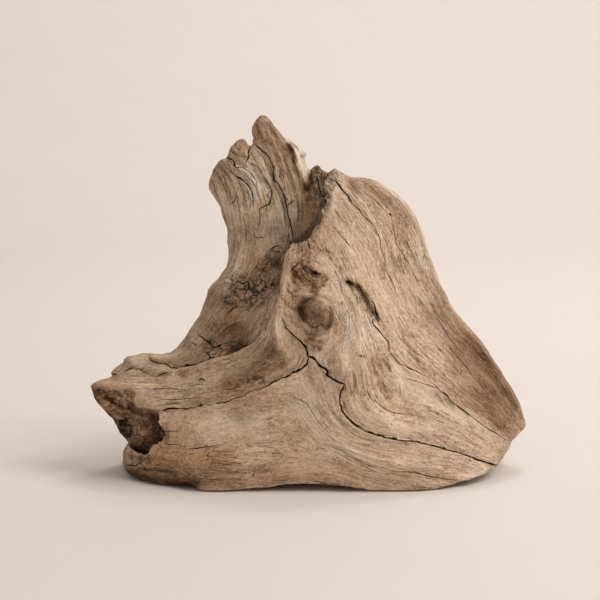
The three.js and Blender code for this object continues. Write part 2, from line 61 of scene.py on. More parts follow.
SEAM_FS = [(308.5,357),(314,358.4),(320,366.3),(327.4,371.7),(326.2,375),(338,382.4),(344.2,383.4),(344.6,386),(340.8,391.5),(340.1,401.2),(343.4,411.9),(350.8,419.9),(358.8,426.6),(369.6,432.6),(380.3,436),(397.7,440),(413.7,441.6),(427,444),(447.2,449.4),(467.3,456.1),(480.7,460.8),(498.1,465.7)]
OUT_TOP = (331, 60)
OUT_LEFT = (60, 372)
OUT_LEFT2 = (60, 440)
OUT_RIGHT = (580, 492)
REGIONS = {
    "horn": [OUT_TOP] + SEAM_HF + SEAM_HV[1:] + SEAM_HA[1:] + [OUT_LEFT, (60, 60)],
    "fan": [OUT_TOP] + SEAM_HF + SEAM_HV[1:] + SEAM_AF[1:] + SEAM_FS[1:] + [OUT_RIGHT, (580, 60)],
    "root_arm": SEAM_HA + [OUT_LEFT, OUT_LEFT2] + SEAM_AS[::-1] + SEAM_AF[::-1][1:],
    "lower_slab": SEAM_AS + [OUT_LEFT2, (60, 560), (580, 560), OUT_RIGHT] + SEAM_FS[::-1][:-1],
}
# depths in mm (negative = towards the viewer) at points of the front view
FRONT = [
    # fan
    (335,172,-14),(360,186,-16),(400,202,-7),(336,190,-30),(375,212,-23),(413,240,-5),(326,225,-38),(345,240,-42),(385,258,-29),(428,285,-3),(312,246,-42),(322,268,-47),(345,290,-50),(372,292,-42),(408,312,-28),(446,315,-2),(293,285,-47),(315,315,-57),(335,300,-54),(352,330,-57),(382,330,-45),(420,345,-34),(457,345,-12),(480,352,1),(320,350,-60),(345,375,-61),(375,370,-56),(402,382,-53),(440,385,-43),(478,388,-25),(503,392,-9),(350,410,-62),(380,425,-61),(420,430,-56),(460,440,-48),(488,452,-38),(510,434,-24),(496,418,-32),(519,424,-10),
    # slab
    (305,375,-58),(250,404,-55),(200,414,-50),(168,418,-43),(168,440,-45),(200,440,-57),(250,440,-63),(300,430,-65),(340,440,-65),(380,455,-64),(430,462,-58),(470,470,-47),(488,472,-38),(205,478,-62),(250,482,-62),(300,478,-61),(375,486,-62),(420,486,-61),(450,480,-54),(168,474,-48),(150,470,-42),(136,462,-34),(127,455,-24),(205,492,-62),(240,490,-61),(385,492,-61.5),
    # arm
    (280,312,-47),(276,330,-51),(300,352,-58),(285,367,-60),(250,374,-53),(220,370,-45),(185,376,-39),(150,384,-37),(122,381,-31),(101,384,-27),(250,390,-57),(205,400,-52),(165,404,-46),(142,394,-42),(300,330,-52),
]
HORN = [
    (262,120,2),(256,135,1),(240,145,3),(215,180,5),(240,180,-3),(268,170,-5),(285,165,-2),(298,185,2),(312,190,8),(318,175,9),(316,215,7),(300,235,2),(240,220,-6),(272,215,-6),(230,250,0),(250,260,-9),(278,262,-10),(272,285,-20),(232,290,-13),(256,298,-22),(215,310,-15),(203,338,-21),(232,335,-30),(182,356,-27),(213,357,-34),(150,364,-26),(122,368,-18),(168,362,-27),(268,310,-38),(252,335,-38),(225,352,-35),(196,360,-32),(178,366,-31),(140,366,-25),
]
EDGE = [(261,115,8),(209,183,9),(228,250,8),(206,298,4),(185,337,-1),(150,353,-5),(125,360,-7),(111,375,-9),(91,386,-13),(105,410,-5),(120,433,0),(123,460,-4),(123,474,-4),(150,500,0),(250,512,0),(400,512,0),(480,490,-6),(500,468,-10),(512,441,-5),(526,426,2),(520,404,6),(500,368,9),(463,321,12),(436,272,13),(417,220,11),(389,189,7),(355,177,1),(335,168,-2),(320,165,12),(308,169,14),(300,150,14),(284,137,11),(245,140,8),(300,300,0),(250,230,6)]
BACK = [(262,120,15),(240,150,19),(215,185,18),(250,220,24),(240,262,22),(215,300,22),(262,280,34),(180,350,14),(130,362,4),(100,385,-3),(130,400,12),(200,390,30),(250,340,38),(300,300,48),(300,200,26),(350,190,14),(392,200,16),(350,240,24),(400,270,17),(430,272,18),(440,330,22),(470,340,17),(500,390,18),(515,420,13),(400,380,36),(350,340,38),(460,430,34),(400,450,56),(300,400,50),(300,460,60),(220,440,50),(150,440,32),(140,470,28),(450,470,46),(300,500,60),(200,500,48),(420,500,54),(330,280,44),(420,410,42),(250,400,38)]
# how far in from the outline the form rounds over, px
ROUND = [(262,120,9),(245,145,8),(215,180,11),(228,250,14),(206,298,14),(185,337,14),(150,355,9),(125,360,8),(111,375,7),(93,388,8),(107,412,9),(122,434,9),(123,460,11),(140,500,10),(250,512,9),(400,512,9),(480,490,8),(500,468,9),(512,441,10),(524,426,7),(505,380,4.5),(463,322,4.5),(436,272,4.5),(415,215,5),(389,189,7),(355,177,7),(335,168,6),(318,165,6),(306,160,7),(290,142,8),(300,300,12)]
# height of the underside over the floor, mm, by px (front edge)
UNDER = [(120,4.0),(135,2.0),(150,0.6),(165,0.4),(180,1.8),(190,3.6),(196,1.0),(202,0),(235,0),(248,0.6),(262,1.4),(278,2.6),(300,4.0),(325,3.8),(345,2.6),(360,1.0),(370,0),(436,0),(448,1.0),(460,2.6),(475,4.2),(490,5.4),(500,9.5),(512,21),(527,30)]
# torn hollow at the end of the arm
HOLLOW = [(93,388.5),(104,389.8),(118,390.3),(130,388.5),(136.5,392.5),(133,400),(137,407.5),(150,409.5),(160,411.0),(172,411.5),(176,430),(173,444),(166,458),(150,463),(134,459),(118,452),(80,440),(70,400),(84,387)]
HOLLOW_DEPTH = [(95,392,-21),(106,398,-20),(120,398,-27),(114,408,-15),(135,404,-24),(128,414,-16),(134,423,-18),(141,430,-23),(146,438,-20),(138,442,-15),(118,424,-8),(124,432,-5),(124,423,0),(128.5,434,1),(150,413,-26),(154,421,-20),(160,431,-13),(161,437,-11),(154,444,-11),(141,451,-6),(148,451,-6),(133,447,-6)]

# Raised and sunken strokes of the front: points, width, height in mm towards the viewer, kind
RELIEF = [
    ([(303,246),(292,252),(286,264),(282,280),(280,295),(277,310),(275,325),(277,345),(283,362)], 8, 4.5, "bump"),
    ([(288,250),(283,265),(279,283),(276,297),(268,303),(258,309),(248,318)], 6, -5.0, "bump"),
    ([(336,182),(331,195),(331,208),(326,220),(318,233),(312,243)], 6, 1.6, "bump"),
    ([(334,180),(347,195),(359,210),(373,226),(379,237),(382,250),(387,268)], 5, -1.3, "bump"),
    ([(349,283),(357,290),(364,300),(371,311),(377,320)], 9, -2.0, "bump"),
    ([(346,292),(354,303),(362,315),(368,325)], 7, 1.6, "bump"),
    ([(367,353),(372,362),(374.5,375),(378,385),(383,395),(392,404)], 7, -2.8, "bump"),
    ([(352,335),(358,350),(362,365),(365,380),(366,395),(372,408),(385,417),(400,420)], 11, 2.8, "bump"),
    ([(375,335),(382,350),(388,362),(393,375),(396,388),(402,397)], 10, 2.2, "bump"),
    ([(405,378),(419,381),(434,387),(447,396),(460,408),(474,418),(487,428),(498,434),(509,443)], 9, 1.1, "step"),
    ([(438,290),(455,320),(475,350),(492,378),(505,400)], 10, -2.6, "bump"),
    ([(283,362),(262,368),(240,378),(215,385),(190,388),(160,390),(135,388)], 9, 1.8, "bump"),
    ([(286.4,362.4),(281.4,367),(272.3,369.9),(262.4,374.9),(251.6,378.6),(243.3,381.9),(237.5,386.1),(232.3,388.9)], 4, -1.8, "bump"),
    ([(172,374),(190,375),(210,369),(225,363)], 7, -3.0, "bump"),
    ([(165,425),(200,430),(240,428),(280,420),(310,405),(325,390)], 17, 2.2, "bump"),
    ([(150,452),(170,450),(190,455),(215,458)], 5, -1.6, "bump"),
    ([(140,470),(180,478),(210,482),(250,478)], 8, 1.4, "bump"),
    ([(198,487),(212,483),(230,482),(248,487)], 5, -1.6, "bump"),
    ([(313,407),(318,412),(323,418)], 8, -1.8, "bump"),
    ([(308,360),(303,367),(290,374),(276,381),(262,388),(244,396),(222,402),(196,406),(166,408)], 7, -1.7, "step"),
    ([(316,362),(327,372),(336,381),(343,384),(341,393),(341,404),(347,417),(359,427),(380,436),(414,441),(447,449),(481,461),(498,466)], 7, 1.0, "step"),
    ([(372,319),(381,333),(389,347),(394,358),(407,367),(431,379)], 7, 0.9, "step"),
    ([(330,345),(338,352),(343,366),(346,378)], 12, 2.0, "bump"),
    ([(318,345),(326,356),(333,366)], 8, -1.2, "bump"),
    ([(350,395),(358,408),(372,419),(395,428),(420,432)], 12, 1.6, "bump"),
    ([(405,225),(418,258),(437,292),(460,322),(487,358),(508,392)], 8, 1.2, "bump"),
    ([(395,225),(408,258),(424,290),(446,322),(470,352),(496,386)], 9, -1.5, "bump"),
    ([(350,205),(364,228),(377,255),(391,284),(408,313),(430,340),(460,368)], 10, 1.0, "bump"),
    ([(200,440),(240,446),(290,438),(330,432)], 14, -1.2, "bump"),
    ([(230,462),(280,466),(330,458),(380,462),(430,468)], 12, 1.5, "bump"),
    ([(300,478),(340,474),(380,478),(420,482)], 8, -1.5, "bump"),
    ([(255,322),(248,334),(232,345),(214,350)], 9, 1.8, "bump"),
    ([(266,330),(258,343),(240,354),(222,362)], 6, -2.0, "bump"),
    ([(296,343),(290,352),(278,360),(262,364)], 7, 1.2, "bump"),
    ([(139,468),(155,470),(176,472)], 3.5, -1.5, "bump"),
    ([(152,451),(160,455),(174,459)], 6, 1.3, "bump"),
    ([(127,450),(129,458),(129,466)], 5, 1.8, "bump"),
    ([(129,455),(137,461),(150,461)], 4, -2.2, "bump"),
    ([(150,447),(152,455),(147,462)], 4, -1.6, "bump"),
    ([(199,380),(202,379),(205,380.5)], 3.0, 1.8, "bump"),
    ([(306,306),(313,313),(320,321)], 10, -2.2, "bump"),
    ([(299.5,305),(300.5,312),(303,320)], 4.2, -1.8, "bump"),
    ([(327,305),(331,313),(330.5,323),(325,330)], 3.2, -1.8, "bump"),
    ([(304,330),(313,335),(324,334.5),(333,328)], 4.0, 1.5, "bump"),
    ([(294,300),(300,296),(309,294.5),(320,297)], 4.0, 1.3, "bump"),
    ([(318,294),(329,299.5),(336,307),(341,318),(343,330)], 3.2, -1.0, "bump"),
    ([(333,303),(338,314),(339,326)], 3.5, 1.0, "bump"),
    ([(297,264),(305,270),(314,274),(325,277)], 4.5, -1.8, "bump"),
    ([(298,276),(306,284),(313,291)], 4.5, -1.4, "bump"),
    ([(305,276),(313,281),(320,286)], 3.0, 1.1, "bump"),
]
KNOT = (315.0, 315.0)

HORN_RELIEF = [
    ([(255,144.4),(264.7,153),(272.3,166.8),(276,182),(283,195),(286.6,206),(290.2,220.4),(293.3,235.7)], 9, -2.2, "step"),
    ([(228,158.2),(235,164),(241.2,167.9),(249.4,171.4),(254.5,178.6),(258,186.7)], 7, 1.7, "step"),
    ([(236,176),(242.2,179.6),(247.3,185.7),(251.4,193.9),(253,202)], 7, 1.7, "step"),
    ([(250.4,162.2),(257.6,168.4),(263.7,177.6),(269.8,184.7),(271.8,191.8)], 6, -1.2, "step"),
    ([(222,163),(229,176),(235,190),(238,208)], 9, 1.8, "bump"),
    ([(232,167),(238,182),(243,198),(246,215)], 6, -1.4, "bump"),
    ([(262,125),(268,140),(277,158),(286,178)], 9, 1.8, "bump"),
    ([(270,125),(279,142),(288,160),(296,182),(301,205)], 7, -2.2, "bump"),
    ([(243,150),(247,158)], 7, 1.5, "bump"),
    ([(235,225),(236,250),(230,275),(222,295),(210,312),(198,328)], 11, 2.5, "bump"),
    ([(246,225),(247,250),(243,272),(232,292),(222,308)], 7, -1.5, "bump"),
    ([(258,225),(260,248),(256,268),(250,284)], 9, 1.5, "bump"),
    ([(270,225),(273,246),(270,264),(266,280)], 8, -1.6, "bump"),
    ([(237,283),(249,287),(259,291),(268,285)], 6, -2.2, "bump"),
    ([(230,300),(245,296),(262,296)], 6, 1.6, "bump"),
    ([(222,318),(236,306),(252,303)], 5, -2.2, "bump"),
    ([(206,340),(222,331),(238,320),(252,312)], 7, 2.0, "bump"),
    ([(197,346),(216,342),(233,333),(248,325)], 5, -2.4, "bump"),
    ([(188,343),(200,350),(215,352)], 6, 1.6, "bump"),
    ([(141,357),(152,362),(166,366),(180,369),(196,366),(212,360)], 6, -3.0, "bump"),
    ([(126,364),(145,368),(165,370),(180,372)], 8, 2.5, "bump"),
    ([(128,358),(145,356),(165,357),(182,353),(197,348)], 8, 2.2, "bump"),
    ([(293,243),(303,238),(310,228),(316,216)], 9, -2.2, "bump"),
    ([(297,190),(300,205),(299,222)], 7, 1.6, "bump"),
    ([(308,178),(312,190),(314,205)], 7, 1.5, "bump"),
    ([(318,178),(320,192),(318,208)], 4, -1.8, "bump"),
    ([(312,171),(313.5,186)], 4, 1.8, "bump"),
    ([(321,170),(322,184),(324,196)], 3.5, 1.6, "bump"),
    ([(316.5,171),(317.5,186)], 2.6, -2.2, "bump"),
    ([(306,190),(309,205),(308,222)], 5, 1.5, "bump"),
    ([(313,195),(313,212),(308,228)], 3.5, -1.5, "bump"),
]
# Open drying checks: points, full width in view units, depth in mm, share of the taper at the start and at the end
# an optional last value scales the painted shade inside the check
CHECKS = [
    ([(308.4,357.9),(307.1,362.4),(303.8,367),(298.8,370.3),(292.2,372.8),(285.6,377.4),(278.1,379.9),(271.5,383.6),(266.5,386.5),(259.9,389),(253.2,390.6)], 1.5, 7, 0.0, 0.25),
    ([(255,390.2),(243.3,396.2),(235,398.6),(228.8,401),(219.8,403.7),(211.8,404.1),(199.3,406.8),(192,408)], 0.75, 4, 0.05, 0.2),
    ([(196,407.2),(189.5,408.3),(179.6,408.6),(167.1,409),(161.8,410.8)], 1.35, 5, 0.15, 0.1),
    ([(308.4,356.6),(312.9,357.9),(316.7,362),(319.6,365.8),(324.6,368.7),(327.5,371.6),(326.2,374.9)], 1.9, 9, 0.0, 0.05),
    ([(326.6,373.2),(327,375.5),(332,377.8),(337.8,381.9),(342.8,383.6),(344.5,385)], 1.7, 7, 0.05, 0.1),
    ([(344.5,384),(342.8,388.1),(340.7,393.1),(340.3,403.1),(342.4,411.4),(347.8,417.2),(354.4,423.8),(360,428)], 1.5, 7, 0.1, 0.05),
    ([(357,426),(365,430.8),(380.3,436),(397.7,440),(413.7,441.3),(427,444),(447.2,449.4)], 1.25, 7, 0.05, 0.02),
    ([(443,448.2),(456,452.4),(467.3,456.1),(480.7,460.8),(490,463.6),(498.5,465.9)], 1.55, 7, 0.15, 0.05),
    ([(283.7,322.9),(285.3,327),(288.5,330),(296.1,337.6)], 1.3, 4, 0.35, 0.0),
    ([(293,334.5),(296.1,337.6),(303.7,345.2),(306.5,351),(308.4,357)], 1.7, 7, 0.3, 0.0),
    ([(282.4,318),(283.7,323)], 0.8, 2, 0.5, 0.0),
    ([(307.8,242.2),(308.4,246),(310,249.8)], 1.2, 3, 0.2, 0.3),
    ([(299.7,262),(296,266),(292.3,269.4),(289.6,273)], 0.9, 1.6, 0.4, 0.4),
    ([(270.6,313.7),(267.5,319.5),(265.5,324.8),(265,332)], 0.9, 1.6, 0.4, 0.4),
    ([(280.3,284.2),(278.4,293.4),(272,299),(265.5,303.6)], 1.3, 2.5, 0.4, 0.4),
    ([(333.9,179.8),(340.8,187.8),(346.9,194.9),(352,203)], 1.5, 7, 0.08, 0.15),
    ([(350,200),(352,203),(359.2,210.2),(366.3,218.4),(373,225.5)], 0.78, 3.50, 0.2, 0.3),
    ([(371,223.5),(373,225.5),(378.6,235.7),(381.6,248),(386.7,268.4)], 0.75, 2.5, 0.2, 0.5),
    ([(372,319.1),(374.2,325.6),(381.8,334.3),(388.3,343),(389.9,351.7),(394.8,358.2),(400,363.6),(406.8,367),(420.2,373),(430.9,378.4)], 1.15, 4.5, 0.05, 0.35),
    ([(405.4,378.4),(418.8,381.7),(433.6,387.1),(438.9,388.4)], 0.8, 2.5, 0.3, 0.1),
    ([(437,388),(447,395.8),(451,401.2),(460.4,408.5),(473.7,417.9),(480,422.5)], 1.5, 5, 0.15, 0.3),
    ([(474,418.2),(487.1,427.9),(497.9,434),(508.6,442.7)], 0.9, 3, 0.2, 0.25),
    ([(396,322),(401.4,334.2),(408,345),(420.2,355.6),(433.6,365),(445.6,375.7)], 0.6, 1.4, 0.3, 0.3),
    ([(388.8,213.6),(389.8,214.8),(390.8,216.2)], 1.6, 3, 0.2, 0.2),
    ([(389.8,214.8),(393,228),(396.9,244.9),(402,254.1),(410.2,267.3),(417.3,282.7),(425.5,295.9)], 0.39, 1.05, 0.3, 0.3),
    ([(424,293),(428,300),(434,309),(441,320),(450,331)], 0.7, 1.5, 0.3, 0.4),
    ([(331.6,225.5),(339.8,233.7),(346.9,242.9),(355.1,251)], 0.52, 1.26, 0.3, 0.4),
    ([(334,208),(338,215),(343,221)], 0.45, 0.98, 0.3, 0.3),
    ([(372,394.9),(377.8,404.1),(386.9,410.4),(397.3,413.3),(408,414.6),(420,415)], 0.6, 1.0, 0.3, 0.4),
    ([(390.7,471.5),(410.8,472.1),(433.6,476.8),(459,480.8)], 0.9, 2.5, 0.3, 0.3),
    ([(313.5,481),(329.5,483.9),(341,484.5)], 0.9, 2, 0.3, 0.3),
    ([(252,477),(255,472)], 0.8, 1.5, 0.3, 0.3),
    ([(165.4,431.3),(173,431),(181.4,431.3)], 0.8, 1.6, 0.1, 0.4),
    ([(163.6,444),(172,444.4),(182,446)], 0.9, 1.8, 0.1, 0.4),
    ([(187.7,448.8),(199.3,447.9),(212.7,446),(221.6,445.2)], 0.9, 1.6, 0.2, 0.4),
    ([(124.3,465.2),(130,465.2),(136.8,465.6),(140.6,463),(143.5,461.4)], 1.3, 4, 0.05, 0.25),
    ([(125.3,468.8),(128.8,465.4)], 0.8, 1.6, 0.3, 0.3),
    ([(199,381.2),(201.6,378.6),(205.4,381.2)], 1.3, 1.4, 0.3, 0.3),
    ([(360.6,356),(362,356.2)], 1.9, 2.5, 0.2, 0.2),
    ([(354.5,283.5),(358.5,288),(362.5,295),(366.5,302),(371,309),(375.5,317),(378,322.5)], 7.0, 3.2, 0.2, 0.3, 0.16),
    ([(356.5,284.2),(358.5,285.8),(361,290),(363.4,295.3),(367,299.5),(371,303)], 1.6, 3.2, 0.1, 0.4, 0.8),
    ([(370.5,300),(374,304.5),(375.8,311),(378.6,317.5),(379.3,321.8)], 1.7, 3.4, 0.35, 0.2, 0.9),
    ([(361,296),(365,303.5),(370,310.5)], 0.7, 1.0, 0.3, 0.3, 0.5),
    ([(345.6,281.4),(348.5,282.2),(352.8,284.4)], 4.0, 3.5, 0.2, 0.4, 0.8),
    ([(313.5,272.6),(318.4,273.4)], 2.2, 2.5, 0.3, 0.3, 0.9),
    ([(185,386.5),(196,384.6),(206,385)], 0.7, 1.2, 0.3, 0.4),
    ([(150,390),(172,388.4),(190,391)], 0.6, 1.2, 0.3, 0.4),
    ([(158,400),(180,399),(205,397)], 0.6, 1.2, 0.3, 0.4),
    ([(290,395),(306,404),(318,421),(330,434)], 0.5, 1.0, 0.3, 0.4),
    ([(450,345),(462,362),(478,382),(494,398)], 0.6, 1.2, 0.3, 0.4),
    ([(436,318),(448,336),(462,353)], 0.7, 1.4, 0.3, 0.4),
    ([(404,236),(410,250),(416,262)], 0.45, 0.98, 0.3, 0.4),
    ([(364,192),(374,200),(384,210)], 0.45, 0.98, 0.3, 0.4),
]
HORN_CHECKS = [
    ([(254.6,143.6),(258,147.6),(264.7,153),(269.5,160.5),(272.3,166.8),(273.2,172)], 1.08, 4.5, 0.05, 0.1),
    ([(272.8,170),(274.4,180.6),(279,184.7),(283,194.9),(286.6,206),(288,212)], 1.05, 5, 0.1, 0.1),
    ([(287.2,209),(290.2,220.4),(292,229),(293.3,236.6)], 1.1, 4, 0.1, 0.2),
    ([(291,241.6),(291.4,244)], 2.0, 3, 0.2, 0.2),
    ([(273.3,167),(275.3,166)], 1.2, 2, 0.1, 0.3),
    ([(228,157.4),(233,161.2),(235.6,167.3)], 1.4, 4, 0.05, 0.1),
    ([(235.6,167.3),(241.2,167.9),(249.4,171.4),(254.5,178.6),(258,186.7)], 1.0, 3, 0.1, 0.4),
    ([(235.5,175.4),(242.2,179.6),(247.3,185.7),(251.4,193.9),(253,202),(253.4,206)], 1.5, 5, 0.15, 0.3),
    ([(250.4,145.6),(248.4,153),(249.4,155.6),(246.8,161.2),(245.8,164.3)], 1.2, 3.5, 0.1, 0.3),
    ([(250.4,162.2),(257.6,168.4),(263.7,177.6),(269.8,184.7)], 0.75, 2.4, 0.2, 0.1),
    ([(269.8,184.7),(271.8,191.8),(270.3,203),(266.7,206)], 0.8, 2, 0.1, 0.1),
    ([(271.4,197),(267.4,204.2),(260.6,208.2),(260,211.2),(260,218.4)], 0.9, 2.5, 0.1, 0.4),
    ([(294.3,200),(291,203),(288,205)], 0.9, 2, 0.4, 0.1),
    ([(235.6,196),(234,202),(229,204.6)], 0.9, 2, 0.3, 0.4),
    ([(253.5,237.2),(259,238),(264.7,237.2)], 0.9, 1.6, 0.3, 0.3),
    ([(268,252),(275,247),(283,244.5)], 0.9, 2, 0.3, 0.2),
    ([(235,284),(238,281.6),(243,283.4),(247,282),(249.6,285),(249,289.4),(253,292.4),(257,291),(260,293),(263,288),(268,285)], 1.3, 3, 0.1, 0.3),
    ([(251,279),(253,271),(257,266),(260,258)], 0.6, 1.2, 0.2, 0.4),
    ([(272,273),(269,281),(264,287),(262,293),(257,300),(247,303)], 0.8, 2.0, 0.3, 0.4),
    ([(226,292),(232,286),(236,283)], 0.9, 2, 0.4, 0.1),
    ([(141.3,353.4),(148.4,355),(151,359.9),(160,363.5),(167.1,364.8),(170.7,368.4),(174.3,368),(180.5,369.3)], 1.0, 3, 0.1, 0.05),
    ([(178,369),(184.1,367.5),(186.8,365.7),(193,366.2),(200.2,363.9),(206.4,361.3),(211.3,359),(220.7,357.2)], 2.3, 6, 0.05, 0.25),
    ([(211.3,359),(208.2,354.1),(207.8,351.9),(214.5,347.4),(220.7,344.7),(228.8,342.5),(235,338)], 1.5, 4, 0.05, 0.4),
    ([(214.5,347.4),(206.4,340.7),(201,336),(195.7,332.2)], 1.3, 3.5, 0.05, 0.4),
    ([(185.9,339.4),(193,343.4),(201,346.5)], 1.1, 2.5, 0.2, 0.4),
    ([(237.7,351.4),(243,350),(245.7,347.9)], 1.0, 2.5, 0.2, 0.3),
    ([(156.4,376.4),(165.4,372.9),(172.5,372),(178,373)], 1.2, 4, 0.2, 0.3),
    ([(111.8,373.7),(118.9,374.6),(126,371.5),(132.3,368.8),(139.5,369.3)], 1.3, 4, 0.05, 0.3),
    ([(225,316),(232,309),(240,304)], 0.8, 1.6, 0.3, 0.3),
    ([(218,336),(228,327),(240,322)], 0.9, 2.0, 0.3, 0.3),
    ([(232,236),(232,252),(229,268)], 0.6, 1.2, 0.3, 0.4),
    ([(243,215),(246,230),(245,246)], 0.6, 1.2, 0.3, 0.4),
    ([(317.6,176),(319.4,186),(322.2,196)], 1.1, 3, 0.2, 0.4),
    ([(255,149),(261,155),(265.5,163),(270,172),(273,180)], 0.6, 1.6, 0.3, 0.4),
    ([(275,147),(280.5,160),(283.5,174),(283.5,186)], 0.5, 1.2, 0.3, 0.4),
    ([(225.5,161),(229,166),(233,174)], 0.6, 1.4, 0.3, 0.4),
    ([(222,174),(229,190),(235,208)], 0.5, 1.2, 0.3, 0.4),
    ([(242,170),(250,179),(257,190),(260,200)], 0.55, 1.4, 0.3, 0.4),
    ([(246,186),(250,198),(251,210)], 0.5, 1.2, 0.3, 0.4),
    ([(280,196),(284,210),(286,226)], 0.5, 1.2, 0.3, 0.4),
    ([(297,196),(299,208),(297,222)], 0.6, 1.4, 0.3, 0.4),
    ([(259.6,211),(260,220),(258.6,230)], 0.7, 1.6, 0.2, 0.4),
]
BACK_CHECKS = [
    ([(262,132),(268,160),(276,195),(280,235)], 1.5, 6, 0.1, 0.3),
    ([(236,172),(243,200),(245,232)], 1.2, 4, 0.2, 0.3),
    ([(352,205),(374,236),(398,276),(422,312)], 1.5, 5, 0.2, 0.3),
    ([(346,262),(378,312),(412,352),(450,390)], 1.7, 6, 0.2, 0.2),
    ([(400,238),(428,284),(452,318)], 1.1, 3, 0.3, 0.3),
    ([(330,350),(362,384),(405,410),(450,432)], 1.5, 5, 0.2, 0.3),
    ([(165,385),(205,376),(246,358),(276,332)], 1.5, 5, 0.15, 0.3),
    ([(170,432),(215,432),(262,420),(306,402)], 1.5, 5, 0.15, 0.3),
    ([(230,464),(300,456),(370,458)], 1.3, 4, 0.25, 0.3),
]
# Directions the fibres run in
FLOW = [
    [(340,176),(352,190),(366,206),(380,225),(392,245),(404,268),(418,292),(436,320),(458,350),(482,380),(505,408),(520,424)],
    [(380,185),(400,203),(415,228),(425,255),(440,287),(462,322),(485,352),(505,385),(520,415)],
    [(330,200),(342,216),(356,238),(370,262),(384,290),(398,318),(418,345),(445,370),(475,395),(508,425)],
    [(322,225),(332,240),(342,258),(352,275),(362,292),(372,310),(380,325),(388,345),(402,362),(425,376),(450,395),(480,420),(505,440)],
    [(312,250),(322,262),(334,278),(342,295),(349,312),(353,330),(357,348),(364,365),(370,385),(378,402),(395,414),(425,420),(460,432),(495,448)],
    [(345,385),(348,400),(358,415),(378,427),(405,432),(440,437),(475,450),(500,460)],
    [(318,290),(328,295),(337,305),(341,318),(341,330),(336,342),(330,356)],
    [(300,262),(304,276),(311,288),(318,298),(322,310),(320,324),(315,336),(314,350)],
    [(290,285),(291,300),(293,315),(299,329),(307,342)],
    [(296,250),(289,268),(284,288),(283,305),(287,322),(296,335),(306,348)],
    [(165,415),(200,411),(240,402),(275,388),(296,378)],
    [(168,440),(210,438),(250,432),(290,426)],
    [(306,368),(309,384),(313,400),(320,414),(333,430),(350,444)],
    [(318,372),(324,386),(328,402),(336,420),(352,436)],
    [(150,468),(200,470),(250,465),(300,455),(340,448),(380,455),(430,462),(480,468)],
    [(330,380),(334,400),(338,420),(352,436),(380,446),(420,452),(460,460),(490,470)],
    [(322,421),(333,430),(346,440)],
    [(296,412),(308,424),(322,438),(345,452),(375,464),(410,472),(460,480)],
    [(140,480),(180,485),(230,488)],
    [(281,300),(276,322),(272,340),(262,356),(243,368),(218,376),(190,382),(160,388),(130,386),(100,384)],
    [(284,325),(293,345),(300,358),(296,368),(280,377),(262,387)],
    [(268,315),(258,332),(240,348),(215,358),(190,366)],
    [(270,352),(250,362),(225,370),(200,378),(170,384),(140,384)],
    [(295,365),(270,378),(245,388),(215,396),(185,402),(160,405)],
    [(100,392),(112,402),(122,414),(130,428),(140,440)],
    [(135,395),(140,410),(148,425),(152,440)],
]
HORN_FLOW = [
    [(215,185),(225,210),(231,240),(228,265),(215,290),(203,315),(190,340),(170,355),(140,360),(115,370)],
    [(262,120),(272,140),(285,165),(295,190),(300,215),(296,238)],
    [(240,145),(255,170),(264,200),(268,230),(266,260),(255,285),(240,305),(225,325),(205,345),(180,357),(150,365),(120,370)],
    [(252,205),(254,235),(250,262),(238,288),(222,312),(205,335)],
    [(285,255),(278,280),(262,303),(245,322),(228,340),(210,355)],
    [(236,180),(243,205),(245,235),(240,262)],
    [(255,144),(265,153),(272,167),(276,182),(283,195),(288,212),(293,236)],
    [(230,160),(240,168),(249,172),(255,180),(259,190)],
    [(236,176),(244,181),(250,190),(253,202)],
    [(300,150),(305,168),(308,190),(306,215)],
    [(318,170),(318,190),(314,212),(304,232)],
]
